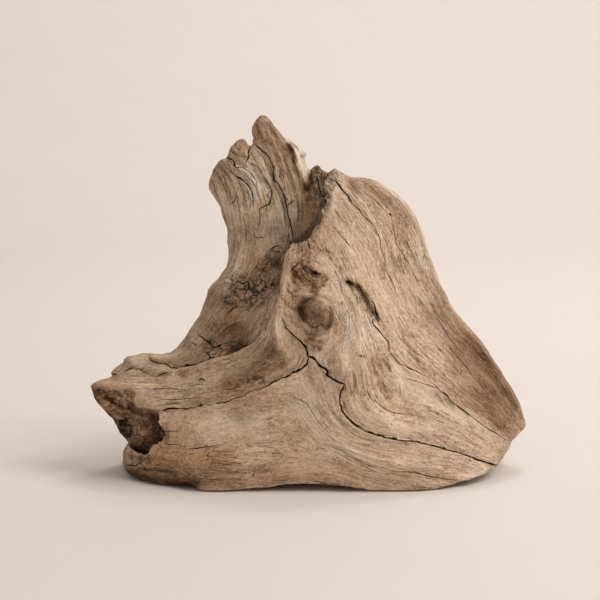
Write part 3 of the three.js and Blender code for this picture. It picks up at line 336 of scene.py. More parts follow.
# Strokes of colour, some of them painted light and shade: points, half width, (dark, warm, grey, light, torn)
TONE = [
    ([(375,472),(420,476)], 6, (-0.14, 0, 0, 0.1, 0)),
    ([(168,414),(172,428),(170,442)], 8, (0.05, 0.3, 0, 0, 0)),
    ([(302,255),(312,268)], 7, (0.05, 0.35, 0, 0, 0)),
    ([(352,292),(364,314),(372,338)], 7, (0, -0.15, 0.2, 0.05, 0)),
    ([(318,335),(318,360),(314,382)], 8, (0, -0.1, 0.2, 0.05, 0)),
    ([(466,342),(482,372),(494,392)], 7, (0.08, 0.15, 0, 0, 0)),
    ([(405,362),(430,384),(455,402)], 6, (0.10, 0.1, 0, 0, 0)),
    ([(162,449),(184,456),(200,456)], 8, (-0.14, 0.05, 0, 0.05, 0)),
    ([(300,455),(330,465)], 10, (-0.10, 0, 0, 0.08, 0)),
    ([(180,415),(194,440)], 9, (-0.08, 0, 0, 0.08, 0)),
    ([(140,386),(164,392)], 6, (-0.14, 0.05, 0, 0.05, 0)),
    ([(118,398),(126,402)], 4, (-0.30, 0.05, 0, 0.05, 0)),
    ([(320,322),(326,338),(334,352)], 6, (-0.16, -0.05, 0.1, 0.08, 0)),
    ([(500,428),(512,434)], 5, (0.20, 0.05, 0, 0, 0)),
    ([(345,312),(350,322),(352,332),(352,344)], 6, (0.06, 0.0, 0.55, 0.0, 0)),
    ([(300,402),(310,410),(320,418)], 11, (0.15, 0.0, 0.55, 0, 0)),
    ([(300,440),(340,452)], 12, (0, 0, 0.15, 0.05, 0)),
    ([(335,210),(352,238),(370,268),(388,300),(400,322)], 15, (0, 0, 0, 0.27, 0)),
    ([(330,290),(345,312),(355,338),(350,362)], 12, (0, 0, 0.1, 0.42, 0)),
    ([(392,300),(412,326),(438,352),(470,378)], 10, (0, 0.05, 0, 0.16, 0)),
    ([(400,372),(420,390),(452,412),(490,436)], 12, (-0.05, 0, 0.1, 0.50, 0)),
    ([(352,400),(366,414),(392,424),(430,430)], 8, (0, 0.05, 0, 0.35, 0)),
    # painted light across the middle of the slab's rounded face
    ([(200,424),(245,426),(290,414)], 13, (0, 0, 0, 0.24, 0)),
    ([(300,452),(350,452),(410,458),(470,464)], 10, (0, 0.05, 0, 0.25, 0)),
    ([(446,298),(463,320),(483,344),(503,374),(517,402)], 12, (0.38, 0.16, 0.05, 0, 0)),
    ([(470,340),(488,362),(506,392),(517,420)], 10, (0.22, 0.14, 0, 0, 0)),
    ([(450,372),(480,402),(506,428)], 9, (0.16, 0.2, 0, 0, 0)),
    ([(354,182),(372,190),(390,203),(402,222)], 8, (0.25, 0.12, 0, 0, 0)),
    ([(352,183),(357,192)], 4, (0.35, 0.1, 0, 0, 0)),
    ([(402,232),(415,262),(430,288)], 7, (0.12, 0.08, 0.1, 0, 0)),
    # painted shade along the foot's lower edge, where the face turns down
    ([(130,470),(160,468),(195,472),(232,476)], 15, (0.34, 0.14, 0.05, 0, 0)),
    ([(132,456),(140,458.5),(148,458)], 3.6, (0.30, 0, 0.3, 0, 0)),
    ([(125,451),(125.5,459),(127,468)], 4, (-0.05, 0, 0.3, 0.15, 0.5)),
    ([(139,468),(155,470.5),(176,472.5)], 1.5, (0.40, 0.1, 0, 0, 0)),
    # painted shade on the foot's underside
    ([(127,472),(145,479),(170,483),(197,484)], 4.5, (0.72, 0.15, 0, 0, 0)),
    ([(150,462),(190,462),(232,466)], 9, (0.06, 0.30, 0, 0, 0)),
    ([(212,466),(224,468)], 9, (0.20, 0.1, 0, 0, 0)),
    ([(232,416),(246,422)], 9, (0.14, 0.0, 0.1, 0, 0)),
    ([(322,412),(345,432),(372,440)], 8, (-0.1, 0, 0, 0.22, 0)),
    ([(462,478),(482,472)], 7, (-0.1, 0, 0, 0.3, 0)),
    ([(228,383),(246,376)], 8, (0.24, 0.05, 0, 0, 0)),
    ([(206,370),(216,374)], 7, (-0.2, 0, 0, 0.05, 0)),
    ([(277,322),(280,336),(282,346)], 7, (-0.16, 0, 0, 0.16, 0)),
    ([(374,350),(382,376),(388,394)], 6, (-0.1, 0, 0, 0.22, 0)),
    ([(100,382),(112,374),(122,368)], 6, (0.30, 0.1, 0, 0, 0)),
    ([(92,385),(98,388),(106,389)], 3.0, (0.30, 0.1, 0, -0.2, 0)),
    ([(404,206),(418,230),(428,262),(440,290)], 3.5, (0.22, -0.1, 0.15, 0, 0)),
    ([(301,266),(306,274),(311,282)], 6, (-0.50, 0.05, 0, 0.1, 0)),
    ([(302,250),(312,254)], 5, (0.25, 0.1, 0, 0, 0)),
    ([(166,424),(168,432),(166,440)], 3.2, (0.55, 0.05, 0, 0, 0)),
    ([(134,465),(146,465)], 5, (-0.22, 0.0, 0, 0, 0)),
    ([(164,453),(196,456)], 6, (-0.12, 0.15, 0, 0, 0)),
    ([(202,374),(232,372)], 6, (-0.13, 0, 0, 0, 0)),
    ([(256,374),(284,366)], 8, (0.13, 0.22, 0, 0, 0)),
    ([(400,374),(430,392),(455,408)], 6, (0.14, 0.05, 0, 0, 0)),
    ([(352,205),(375,235),(392,262)], 10, (0.12, 0, 0, 0, 0)),
    ([(396,250),(404,274)], 5, (-0.15, 0, 0, 0, 0)),
    ([(311,336),(318,341),(322,350)], 6, (-0.04, 0.10, 0, 0, 0.2)),
    ([(165,448),(195,452),(225,455)], 8, (0.12, 0.10, 0, 0, 0)),
    ([(262,474),(300,478),(350,476)], 10, (0.15, 0.15, 0, 0, 0)),
    ([(380,482),(430,480),(470,474)], 8, (0.10, 0.10, 0, 0.05, 0)),
    ([(96,384),(115,383),(140,384),(160,382)], 9, (0.05, 0.28, 0, 0, 0)),
    ([(240,298),(232,315),(222,330)], 12, (0.25, 0.30, 0, 0, 0)),
    ([(226,388),(245,390),(262,386)], 7, (0.05, 0.32, 0, 0, 0)),
    ([(388,404),(396,408),(402,407)], 6, (0.03, 0.35, 0, 0, 0)),
    ([(335,345),(345,372),(352,392)], 8, (0, 0.05, 0, 0.05, 0)),
    ([(366,352),(370,366),(373,384),(380,398)], 4.5, (0.16, 0.08, 0, 0, 0)),
    ([(357,354.5),(360.5,356.5),(364,356.5)], 1.4, (0.5, 0.1, 0, 0, 0)),
    # painted highlight along the fan's right rim, where the key light catches it; partly its worn, lighter edge
    ([(372,181),(384,187),(394,194),(404,203.5),(412,214),(418.5,226),(423.5,240),(427.5,256),(433.5,269),(443,291),(453,309),(465,325),(478,340),(489.5,355.5),(502,374.5),(513,393),(520,408)], 1.2, (-0.1, 0.0, 0, 0.25, 0)),
    # knot: dark ring round a brown eye, torn brown patch above, reddish patch below
    ([(305,303),(311,311),(318,318),(322,324)], 10.5, (0.60, 0.22, 0.1, 0, 0.25)),
    ([(300,309),(301,314),(303.5,318)], 3.0, (0.85, 0, 0, 0, 0)),
    ([(302,310),(304,315),(306,318)], 4.0, (0.35, 0, 0, 0, 0)),
    ([(303,303),(309,299.5),(316,299.5),(322,303)], 1.8, (0.35, 0.1, 0, 0, 0)),
    ([(325.5,309),(329.5,314),(329.5,322),(327,329)], 1.9, (0.60, 0.05, 0, 0, 0)),
    ([(304,320),(309,325),(315,327.5),(321,324.5),(325,328)], 1.4, (0.55, 0.05, 0, 0, 0)),
    ([(307,307),(313,310),(318,316)], 3.0, (-0.18, 0.25, 0, 0.06, 0)),
    ([(319,306),(324,312),(324,320)], 2.4, (0.25, 0.1, 0, 0, 0)),
    ([(305,327),(312,331.5),(320,331),(327,331.5)], 2.0, (0.1, 0, 0.2, 0.2, 0)),
    ([(303,330),(309,334.5),(317,335.5),(326,333.5)], 1.0, (0.35, 0.05, 0, 0, 0)),
    ([(311,337),(320,338),(329,335)], 1.8, (-0.1, 0, 0, 0.4, 0)),
    ([(300,292),(306,295),(311,295.5)], 1.8, (-0.1, 0, 0, 0.45, 0)),
    ([(284,299.5),(288.5,305),(295.7,310.5)], 1.5, (0.45, 0.05, 0, 0, 0)),
    ([(297,265),(304,271),(313,276),(323,281)], 5.0, (0.40, 0.42, 0, 0, 0.7)),
    ([(300,276),(308,283),(315,290)], 5.5, (0.36, 0.36, 0, 0, 0.6)),
    ([(294,268),(296,278),(299,288)], 4.5, (0.16, 0.35, 0, 0, 0.4)),
    ([(300.5,261.5),(304,266),(308,269),(313,272.5)], 2.0, (0.6, 0.1, 0, 0, 0)),
    ([(299,268),(305,276),(312,284)], 1.2, (0.45, 0.1, 0, 0, 0)),
    ([(305,270),(311,278),(318,284)], 1.2, (0.45, 0.1, 0, 0, 0)),
    ([(296,272),(301,281),(307,288)], 1.1, (0.35, 0.1, 0, 0, 0)),
    ([(311,291.5),(316,293)], 1.8, (0.6, 0.1, 0, 0, 0)),
    ([(325.6,276.5),(327,279)], 1.6, (0.7, 0.1, 0, 0, 0)),
    ([(294,282),(294.5,283)], 1.2, (0.7, 0.1, 0, 0, 0)),
    ([(293,271),(294,276)], 2.6, (0.8, 0, 0, 0, 0)),
    ([(313.6,272.6),(320,274.6)], 1.7, (0.9, 0, 0, 0, 0)),
    ([(326,280),(322,285),(318,291)], 1.4, (0.35, 0.1, 0, 0, 0)),
    ([(290,280),(294,292),(300,300)], 7, (0.05, 0.25, 0, 0, 0)),
    ([(309,338),(316,340),(321,343),(314,348)], 4.5, (0.26, 0.50, 0, 0, 0.6)),
    ([(316,295),(326,298.5),(333,305),(338,314.5),(341.5,322)], 0.9, (0.55, 0.15, 0, 0, 0)),
    ([(334.5,318),(337.5,324),(337,331)], 2.4, (0.10, 0.5, 0, 0, 0)),
    ([(349,281.5),(352,284.5)], 3.0, (0.6, 0, 0, 0, 0)),
    ([(358.5,288),(363.5,296),(369.5,306),(375.5,317)], 4.6, (0.20, 0.34, 0, 0, 0.6)),
    ([(345,281),(351,283.5),(356,286)], 3.2, (0.4, 0.4, 0, 0, 0.4)),
    # the strand and the fan's left edge
    ([(303,248),(294,254),(288,268),(284,284),(281,300)], 5, (0.04, 0, 0.15, 0.12, 0)),
    ([(279,318),(281,338),(290,356)], 6, (0, 0, 0.05, 0.30, 0)),
    ([(325,232),(318,244),(330,252)], 8, (0, 0.25, 0, 0.12, 0)),
    ([(335,186),(330,200),(330,214)], 7, (0.02, 0, 0.2, 0.15, 0.1)),
    # painted shade along the parting under the plate's left edge
    ([(318,208),(318,222),(308,238),(296,246)], 6, (0.34, 0.05, 0, 0, 0)),
    ([(432,318),(452,342),(478,374),(503,408)], 18, (0.32, 0.12, 0, 0, 0)),
    ([(462,352),(480,378),(498,402)], 12, (0.18, 0.08, 0, 0, 0)),
    ([(452,392),(474,408),(500,426)], 7, (0.24, 0.08, 0, 0, 0)),
    ([(446,345),(470,374),(490,402)], 11, (0.16, 0.05, 0, 0, 0)),
    ([(372,192),(395,212),(406,235)], 11, (0.20, 0.03, 0, 0, 0)),
    ([(396,262),(410,292),(428,318)], 10, (0.20, 0.03, 0, 0, 0)),
    # painted shade on the small peak between the prong and the plate
    ([(318,176),(334,181)], 8, (0.28, 0, 0.1, 0, 0.3)),
    ([(346,200),(362,222)], 9, (0.10, 0.0, 0.1, 0, 0)),
    ([(345,384),(348,392)], 7, (0.20, 0.05, 0, 0, 0)),
    ([(302,346),(307,349)], 6, (0.26, 0.1, 0, 0, 0)),
    ([(274,352),(258,364),(240,374),(220,382)], 13, (0.30, 0.10, 0, 0, 0)),
    ([(255,352),(280,347)], 10, (0.22, 0, 0, 0, 0)),
    ([(185,366),(205,364)], 8, (0.10, 0.0, 0.05, 0, 0)),
    ([(238,411),(243,418)], 13, (0.26, 0.0, 0.25, 0, 0)),
    ([(226,449),(232,452)], 10, (0.14, 0, 0, 0, 0)),
    # painted shade on the foot's underside
    ([(138,474),(172,481),(205,484)], 10, (0.30, 0.08, 0, 0, 0)),
    ([(330,254),(338,272)], 10, (0, 0, 0, 0.35, 0)),
    ([(324,345),(323,364)], 7, (-0.1, 0, 0.1, 0.25, 0)),
    ([(372,322),(379,345)], 6, (0, 0, 0, 0.35, 0)),
    ([(392,393),(398,399)], 6, (0, 0, 0, 0.40, 0)),
    ([(368,430),(396,436)], 9, (0, 0, 0, 0.30, 0)),
    ([(304,384),(308,396)], 7, (0, 0, 0, 0.28, 0)),
    ([(285,470),(340,472),(395,475)], 8, (-0.05, 0, 0, 0.22, 0)),
    ([(468,476),(484,470)], 8, (-0.1, 0, 0, 0.30, 0)),
    ([(250,443),(258,446)], 9, (0, 0, 0.1, 0.15, 0)),
    ([(97,384.5),(112,384),(128,384),(140,388)], 3.0, (-0.05, 0, 0, 0.48, 0)),
    ([(138,396),(150,402),(160,402),(176,398)], 6, (-0.1, 0, 0, 0.35, 0)),
    ([(164,414),(166,422),(171,432)], 4, (-0.1, 0, 0, 0.45, 0)),
    ([(330,177),(326.5,190),(326,204),(322,214),(314,230)], 5, (0.05, 0, 0.15, 0.1, 0.7)),
]
# inside the torn end: colours of the torn wood, and painted shade in its deep cavities
HOLLOW_TONE = [
    ([(95,391),(104,396),(112,400)], 4, (0.25, 0.35, 0, 0, 0)),
    ([(108,400),(118,410),(124,418)], 5, (0.0, 0.30, 0, 0, 0)),
    ([(123,398),(128,402)], 3.5, (-0.45, 0.1, 0, 0.15, 0)),
    ([(130,404),(140,408),(150,414)], 7, (0.16, 0.05, 0, 0, 0)),
    ([(134,450),(142,452),(150,452)], 3, (0.4, 0, 0, 0, 0)),
    ([(100,393),(110,404),(120,412)], 1.6, (-0.3, 0, 0, 0.3, 0)),
    ([(104,393),(114,402),(126,410)], 1.4, (-0.22, 0, 0, 0.25, 0)),
    ([(100,391),(107,395),(114,399)], 4, (0.34, 0.1, 0, 0, 0)),
    ([(91,388.5),(94,394),(99,401)], 3.2, (0.45, 0.15, 0, -0.2, 0)),
    ([(104,398),(112,403),(121,407.5),(134,411),(142,414)], 2.0, (0.75, 0, 0, 0, 0)),
    ([(113,389),(121,396),(128,403),(134,408)], 1.6, (0.40, 0, 0, 0, 0)),
    ([(98,396),(106,404),(114,412),(121,419)], 2.6, (-0.2, 0.2, 0, 0.30, 0)),
    ([(106,413),(113,419),(118,428),(124,438)], 2.4, (0.55, 0, 0, 0, 0)),
    ([(122.5,421.5),(126,425)], 2.6, (1.0, 0, 0, 0, 0)),
    ([(125,432),(128.5,435.5),(130.5,433.5)], 3.0, (1.1, 0, 0, 0, 0)),
    ([(129.5,424),(131.6,426),(131.8,430)], 1.2, (0.8, 0, 0, 0, 0)),
    ([(134,421),(140,429),(143,438)], 7, (-0.04, 0.05, 0.05, 0.05, 0)),
    ([(137,434),(143,436),(149,436)], 0.9, (0.5, 0, 0, 0, 0)),
    ([(148,413),(154,419),(157,424)], 4.0, (0.15, 0, 0, 0, 0)),
    ([(156,429),(160.5,433),(161,438),(155,443)], 4.5, (-0.30, -0.25, 0.15, 0, 0)),
    ([(136,449),(140,450.5),(144,452)], 2.6, (0.35, -0.1, 0.1, 0, 0)),
]
HORN_TONE = [
    ([(277,264),(280,272),(277,284)], 4, (0.35, 0.05, 0, 0, 0)),
    ([(228,288),(222,304),(216,320)], 6, (-0.05, -0.3, 0.15, 0, 0)),
    ([(306,190),(308,208),(306,224)], 6, (0.05, 0.25, 0, 0, 0)),
    ([(222,158),(240,160)], 9, (0, 0.2, 0, 0, 0)),
    ([(250,176),(276,182)], 9, (-0.14, 0, 0, 0.1, 0)),
    ([(225,288),(232,296)], 5, (-0.2, 0, 0, 0, 0)),
    ([(211,318),(217,324)], 5, (-0.15, 0, 0, 0, 0)),
    ([(236,352),(250,351)], 4, (0.85, 0, 0, 0, 0)),
    ([(168,361),(200,359)], 5, (0.14, 0, 0, 0, 0)),
    ([(107,374),(113,368),(122,362)], 5, (0.30, 0.1, 0, 0, 0)),
    ([(236,200),(262,206),(286,216)], 14, (-0.10, 0, 0, 0.10, 0)),
    ([(222,214),(228,236)], 5, (-0.16, 0, 0, 0.06, 0)),
    ([(317,192),(319,200)], 4, (-0.25, 0, 0, 0.05, 0)),
    ([(220,300),(210,318),(224,334),(240,345)], 14, (0.30, 0.05, 0, 0, 0)),
    ([(246,344),(262,338)], 12, (0.28, 0, 0, 0, 0)),
    ([(250,318),(262,320)], 12, (0.12, 0, 0.1, 0, 0)),
    ([(276,130),(290,148)], 7, (0.22, 0.05, 0, 0, 0)),
    ([(220,168),(226,176)], 7, (0.16, 0, 0, 0, 0)),
    ([(238,285),(252,288)], 8, (0.10, 0, 0, 0, 0)),
    ([(272,262),(282,268)], 8, (0.14, 0, 0, 0, 0)),
    ([(300,246),(308,240)], 6, (0.25, 0, 0, 0, 0)),
    ([(246,162),(252,176),(258,192)], 6, (-0.05, 0, 0.1, 0.5, 0)),
    ([(214,190),(222,208)], 5, (-0.1, 0, 0.1, 0.25, 0)),
    ([(296,214),(304,222)], 8, (-0.05, 0, 0.1, 0.25, 0)),
    ([(270,230),(276,240)], 8, (-0.03, 0, 0.1, 0.15, 0)),
    ([(264,124),(272,144),(279,160)], 2.2, (0.35, 0.1, 0, 0, 0)),
    ([(270,124),(280,146),(288,168),(292,186)], 2.4, (0.30, 0.1, 0, 0, 0)),
    ([(258,126),(262,142),(268,152)], 1.8, (0.25, 0.1, 0, 0, 0)),
    ([(262,120),(268,130),(276,148),(288,172)], 9, (0.26, 0.16, 0.0, 0, 0)),
    ([(256,128),(258,136)], 6, (0.20, 0.22, 0, 0, 0)),
    ([(240,140),(246,150)], 7, (0.10, 0.25, 0, 0.05, 0.2)),
    ([(215,172),(220,185),(228,198)], 9, (0.24, 0.12, 0.1, 0, 0)),
    ([(212,182),(216,196),(224,214),(228,235)], 4, (0.35, 0.1, 0, 0, 0)),
    ([(240,176),(250,190),(256,205)], 8, (0, 0, 0.1, 0.30, 0)),
    ([(258,155),(266,168),(272,180)], 6, (0, 0, 0.1, 0.22, 0)),
    ([(228,212),(236,236),(236,260),(228,276)], 9, (0, 0, 0.22, 0.26, 0)),
    ([(262,196),(262,204)], 5, (0.05, 0.35, 0, 0, 0)),
    ([(255,230),(268,240),(282,248)], 12, (0.12, 0.10, 0.25, 0, 0)),
    ([(268,196),(276,216),(282,236)], 8, (0.03, 0, 0.25, 0, 0)),
    ([(300,192),(304,210),(302,228)], 10, (0.22, 0.15, 0.05, 0, 0)),
    ([(310,174),(312,186),(314,196)], 7, (0.30, 0.12, 0.0, 0, 0.3)),
    # painted shade along the parting under the plate's edge, down to its end
    ([(323,186),(323,200),(320,212),(313,228)], 3.5, (0.42, 0.05, 0, 0, 0)),
    ([(292,244),(300,240),(309,232)], 5, (0.45, 0.1, 0.1, 0, 0)),
    ([(264,270),(272,262),(280,254)], 7, (0.26, 0.10, 0, 0, 0.2)),
    ([(250,276),(262,280),(272,286)], 9, (0.28, 0.15, 0, 0, 0.35)),
    ([(236,286),(248,294),(262,298)], 9, (0.22, 0.12, 0.05, 0, 0.4)),
    ([(256,262),(262,268)], 8, (0.12, 0.38, 0, 0, 0.2)),
    ([(225,298),(238,304),(250,312)], 9, (0.25, 0.2, 0, 0, 0.2)),
    ([(212,322),(226,330),(244,332)], 9, (0.28, 0.28, 0, 0, 0.2)),
    ([(205,346),(222,350),(238,346)], 8, (0.34, 0.18, 0, 0, 0.2)),
    ([(184,348),(200,356),(214,357)], 6, (0.22, 0.1, 0.1, 0, 0)),
    ([(150,360),(170,361),(190,359)], 5, (0.16, 0.22, 0, 0, 0.2)),
    ([(128,358),(150,357),(176,355)], 6, (-0.05, 0.05, 0.1, 0.25, 0.1)),
    ([(116,368),(130,366),(150,370)], 6, (0.05, 0.1, 0.1, 0.1, 0.2)),
    ([(206,300),(196,318),(188,334)], 7, (0.1, 0.05, 0.2, 0.1, 0)),
    # painted highlight on the horn's right face, which faces the key light; partly its pale weathered wood
    ([(297.5,153),(301,161),(304,170),(305.5,177)], 3.8, (-0.3, 0, 0, 1.1, 0)),
    ([(310,175),(311,182),(308,188)], 3.5, (0.4, 0.1, 0, -0.4, 0.4)),
    ([(262,128),(266,146),(268,160)], 7, (-0.12, 0, 0, 0.22, 0)),
    ([(244,150),(250,172),(258,186),(264,196)], 8, (-0.12, 0, 0, 0.25, 0)),
    ([(212,176),(218,190),(226,206)], 7, (-0.22, 0, 0, 0.14, 0)),
    ([(282,214),(298,222)], 8, (-0.12, 0, 0, 0.16, 0)),
    ([(248,262),(258,274),(262,286)], 9, (-0.16, 0, 0, 0.12, 0)),
    ([(272,232),(262,250)], 12, (-0.08, 0, 0, 0.10, 0)),
    ([(226,312),(236,322)], 9, (0.16, 0.5, 0, 0, 0)),
    ([(232,350),(248,349)], 5, (0.22, 0, 0, 0, 0)),
    ([(276,262),(284,270)], 5, (0.25, 0, 0, 0, 0)),
    ([(208,318),(214,328)], 6, (-0.15, 0, 0, 0.1, 0)),
    ([(303,152),(306,161),(308,171)], 3.0, (-0.2, 0, 0, 0.9, 0)),
    ([(286,138),(291,144),(296,150)], 1.4, (-0.2, 0, 0, 0.8, 0)),
    ([(289.5,145),(293,152),(295,162)], 2.4, (0.9, 0.15, 0, -0.9, 0.5)),
    ([(299,168),(303,180),(305,190)], 2.5, (0.2, 0, 0, -0.2, 0.2)),
    # painted shade and torn texture on the small peak beside the plate
    ([(316,168),(322,176),(328,182)], 6, (0.25, 0.05, 0.05, 0, 0.7)),
    ([(304,196),(310,212),(306,228)], 6, (-0.12, 0.1, 0, 0.12, 0.3)),
]
# Places that have cracked into small blocks: pieces, points, half width, how far
CRACKLE = [
    (("horn",), [(236,284),(250,290),(268,286)], 11, 1.0),
    (("horn",), [(262,272),(272,262),(280,254)], 9, 0.6),
    (("horn",), [(232,300),(248,302),(264,298)], 9, 0.8),
    (("horn",), [(206,346),(222,351),(242,346)], 8, 0.8),
    (("horn",), [(188,342),(202,346)], 7, 0.6),
    (("horn",), [(272,232),(286,244)], 7, 0.45),
    (("horn",), [(218,326),(236,322)], 9, 0.4),
    (("horn",), [(314,172),(320,186),(320,204)], 7, 0.7),
    (("root_arm",), [(230,387),(246,384),(262,380)], 5, 0.7),
    (("root_arm",), [(104,396),(118,408),(128,424)], 12, 0.55),
    (("fan",), [(300,268),(310,276),(318,284)], 8, 0.6),
    (("fan",), [(306,304),(316,318),(312,330)], 9, 0.5),
    (("fan",), [(308,342),(318,346)], 6, 0.6),
    (("fan",), [(332,178),(328,192),(326,206)], 5, 0.5),
    (("lower_slab",), [(127,452),(134,464),(146,462)], 9, 0.55),
    (("lower_slab",), [(160,450),(175,456)], 8, 0.35),
]
# Places where the fibres hardly show: points, half width, how much of them goes
CALM = [
    ([(314,300),(314,330)], 17, 0.80),
    ([(300,268),(316,286)], 12, 0.35),
    ([(300,345),(318,352)], 12, 0.40),
    ([(312,400),(304,425),(290,440)], 22, 0.55),
    ([(240,405),(290,400)], 25, 0.45),
    ([(180,430),(240,430)], 22, 0.55),
    ([(175,380),(230,375)], 16, 0.45),
    ([(110,390),(150,440)], 24, 0.8),
    ([(135,470),(190,475)], 16, 0.3),
    ([(345,345),(352,372)], 14, 0.45),
    ([(395,398),(430,405),(460,418)], 16, 0.30),
    ([(330,190),(322,232)], 9, 0.5),
]
HORN_CALM = [
    ([(250,225),(262,262),(256,292)], 20, 0.6),
    ([(240,305),(225,335),(205,350)], 20, 0.5),
    ([(120,365),(180,362)], 12, 0.5),
    ([(262,120),(240,145),(214,172)], 10, 0.3),
    ([(312,175),(316,210)], 9, 0.6),
]

def z_of(v, Y):
    """height at which the sight line of row v meets depth Y"""
    k = (300.0 - v) / FOC
    return AIM[2] + (k * (DIST + Y * CE) - Y * SE) / (CE + k * SE)


def to_world(P):
    """front-view points (u, v, depth) as places in mm"""
    z = z_of(P[:, 1], P[:, 2])
    f = DIST + P[:, 2] * CE - (z - AIM[2]) * SE
    x = AIM[0] + (P[:, 0] - 300.0) * f / FOC
    return np.column_stack([x + SHIFT[0], P[:, 2] + SHIFT[1], z])


def smooth(e0, e1, v):
    t = np.clip((v - e0) / (e1 - e0), 0, 1)
    return t * t * (3 - 2 * t)


def rbf(pts, x, y, reg=2.0):
    """thin-plate surface through the given heights"""
    p = np.array(pts, float)
    n = len(p)
    c = p[:, :2] / 100.0
    d = np.sqrt(((c[:, None] - c[None]) ** 2).sum(-1))
    K = np.where(d > 0, d * d * np.log(np.maximum(d, 1e-12)), 0.0) + np.eye(n) * reg * 1e-3
    A = np.block([[K, np.column_stack([np.ones(n), c])], [np.column_stack([np.ones(n), c]).T, np.zeros((3, 3))]])
    w = np.linalg.solve(A, np.concatenate([p[:, 2], np.zeros(3)]))
    x = np.asarray(x, float) / 100.0
    y = np.asarray(y, float) / 100.0
    out = w[-3] + w[-2] * x + w[-1] * y
    for (cx, cy), wi in zip(c, w[:-3]):
        d2 = (x - cx) ** 2 + (y - cy) ** 2
        out += wi * 0.5 * d2 * np.log(np.maximum(d2, 1e-12))
    return out


def curve(pts, n=5):
    """smooth line through the points"""
    p = np.array(pts, float)
    if len(p) < 3:
        return p
    closed = np.allclose(p[0], p[-1])
    q = np.vstack([p[-2] if closed else 2 * p[0] - p[1], p, p[1] if closed else 2 * p[-1] - p[-2]])
    t = np.linspace(0, 1, n, endpoint=False)[:, None]
    out = []
    for a, b, c, d in zip(q[:-3], q[1:-2], q[2:-1], q[3:]):
        out.append(0.5 * (2 * b + (c - a) * t + (2 * a - 5 * b + 4 * c - d) * t * t + (3 * b - a - 3 * c + d) * t ** 3))
    return np.vstack(out + [p[-1:]])


def near(line, x, y):
    """distance to the line, the side (+1 on its right seen along it, v down), and how far along it, 0 to 1"""
    line = np.asarray(line, float)
    seg = line[1:] - line[:-1]
    L = np.sqrt((seg ** 2).sum(1))
    cum = np.concatenate([[0], np.cumsum(L)])
    best = np.full(np.shape(x), 1e12)
    side = np.zeros(np.shape(x))
    along = np.zeros(np.shape(x))
    for k in range(len(seg)):
        (ax, ay), (vx, vy) = line[k], seg[k]
        rx, ry = x - ax, y - ay
        t = np.clip((rx * vx + ry * vy) / max(L[k] ** 2, 1e-9), 0, 1)
        d2 = (rx - t * vx) ** 2 + (ry - t * vy) ** 2
        m = d2 < best
        best = np.where(m, d2, best)
        side = np.where(m, np.sign(vx * ry - vy * rx), side)
        along = np.where(m, cum[k] + t * L[k], along)
    return np.sqrt(best), side, along / cum[-1]


def poly_sdf(poly, x, y):
    """distance to a closed outline, positive inside"""
    d2 = np.full(np.shape(x), 1e12)
    inside = np.zeros(np.shape(x), bool)
    for i in range(len(poly)):
        ax, ay = poly[i]
        bx, by = poly[(i + 1) % len(poly)]
        vx, vy = bx - ax, by - ay
        t = np.clip(((x - ax) * vx + (y - ay) * vy) / max(vx * vx + vy * vy, 1e-9), 0, 1)
        np.minimum(d2, (x - ax - t * vx) ** 2 + (y - ay - t * vy) ** 2, out=d2)
        if ay != by:
            inside ^= ((ay > y) != (by > y)) & (x < (bx - ax) * (y - ay) / (by - ay) + ax)
    d = np.sqrt(d2)
    return np.where(inside, d, -d)


# ------------------------------------------------------------------ noise
RNG = np.random.default_rng(20)
LATTICE = (RNG.random(64 * 64 * 64, dtype=np.float32) * 2 - 1) * 1.6
WOBBLE = RNG.random(4096, dtype=np.float32) * 2 - 1


def vnoise(x, y, z):
    xf, yf, zf = np.floor(x), np.floor(y), np.floor(z)
    fx, fy, fz = x - xf, y - yf, z - zf
    fx = fx * fx * (3 - 2 * fx)
    fy = fy * fy * (3 - 2 * fy)
    fz = fz * fz * (3 - 2 * fz)
    xi, yi, zi = xf.astype(np.int32) & 63, yf.astype(np.int32) & 63, zf.astype(np.int32) & 63
    xj, yj, zj = (xi + 1) & 63, (yi + 1) & 63, (zi + 1) & 63
    xi <<= 12
    xj <<= 12
    yi <<= 6
    yj <<= 6
    T = LATTICE
    a = T[xi | yi | zi] * (1 - fz) + T[xi | yi | zj] * fz
    b = T[xi | yj | zi] * (1 - fz) + T[xi | yj | zj] * fz
    c = T[xj | yi | zi] * (1 - fz) + T[xj | yi | zj] * fz
    d = T[xj | yj | zi] * (1 - fz) + T[xj | yj | zj] * fz
    return (a * (1 - fy) + b * fy) * (1 - fx) + (c * (1 - fy) + d * fy) * fx


def fbm(p, size, octaves=3, seed=0.0):
    out = 0
    for k in range(octaves):
        s = 2.0 ** k / size
        out = out + vnoise(p[:, 0] * s + 7.3 * k + seed, p[:, 1] * s + 3.1 * k + 2 * seed, p[:, 2] * s + 5.7 * k) * 0.5 ** k
    return out


def wobble(t, seed):
    """smooth 1-D noise"""
    t = t + seed * 37.0
    i = np.floor(t).astype(int)
    f = t - i
    f = f * f * (3 - 2 * f)
    return WOBBLE[i & 4095] * (1 - f) + WOBBLE[(i + 1) & 4095] * f


# ------------------------------------------------------------------ the form
X0, Y0, STEP, NX, NY = 84.0, 108.0, 0.5, 900, 820
GX, GY = np.meshgrid(X0 + STEP * np.arange(NX), Y0 + STEP * np.arange(NY))
NODES = ["horn", "fan", "root_arm", "lower_slab"]
OVERLAP = -0.22


def window(line, pad):
    line = np.asarray(line)
    a = np.floor((line.min(0) - pad - (X0, Y0)) / STEP).astype(int)
    b = np.ceil((line.max(0) + pad - (X0, Y0)) / STEP).astype(int) + 1
    return slice(max(a[1], 0), min(b[1], NY)), slice(max(a[0], 0), min(b[0], NX))


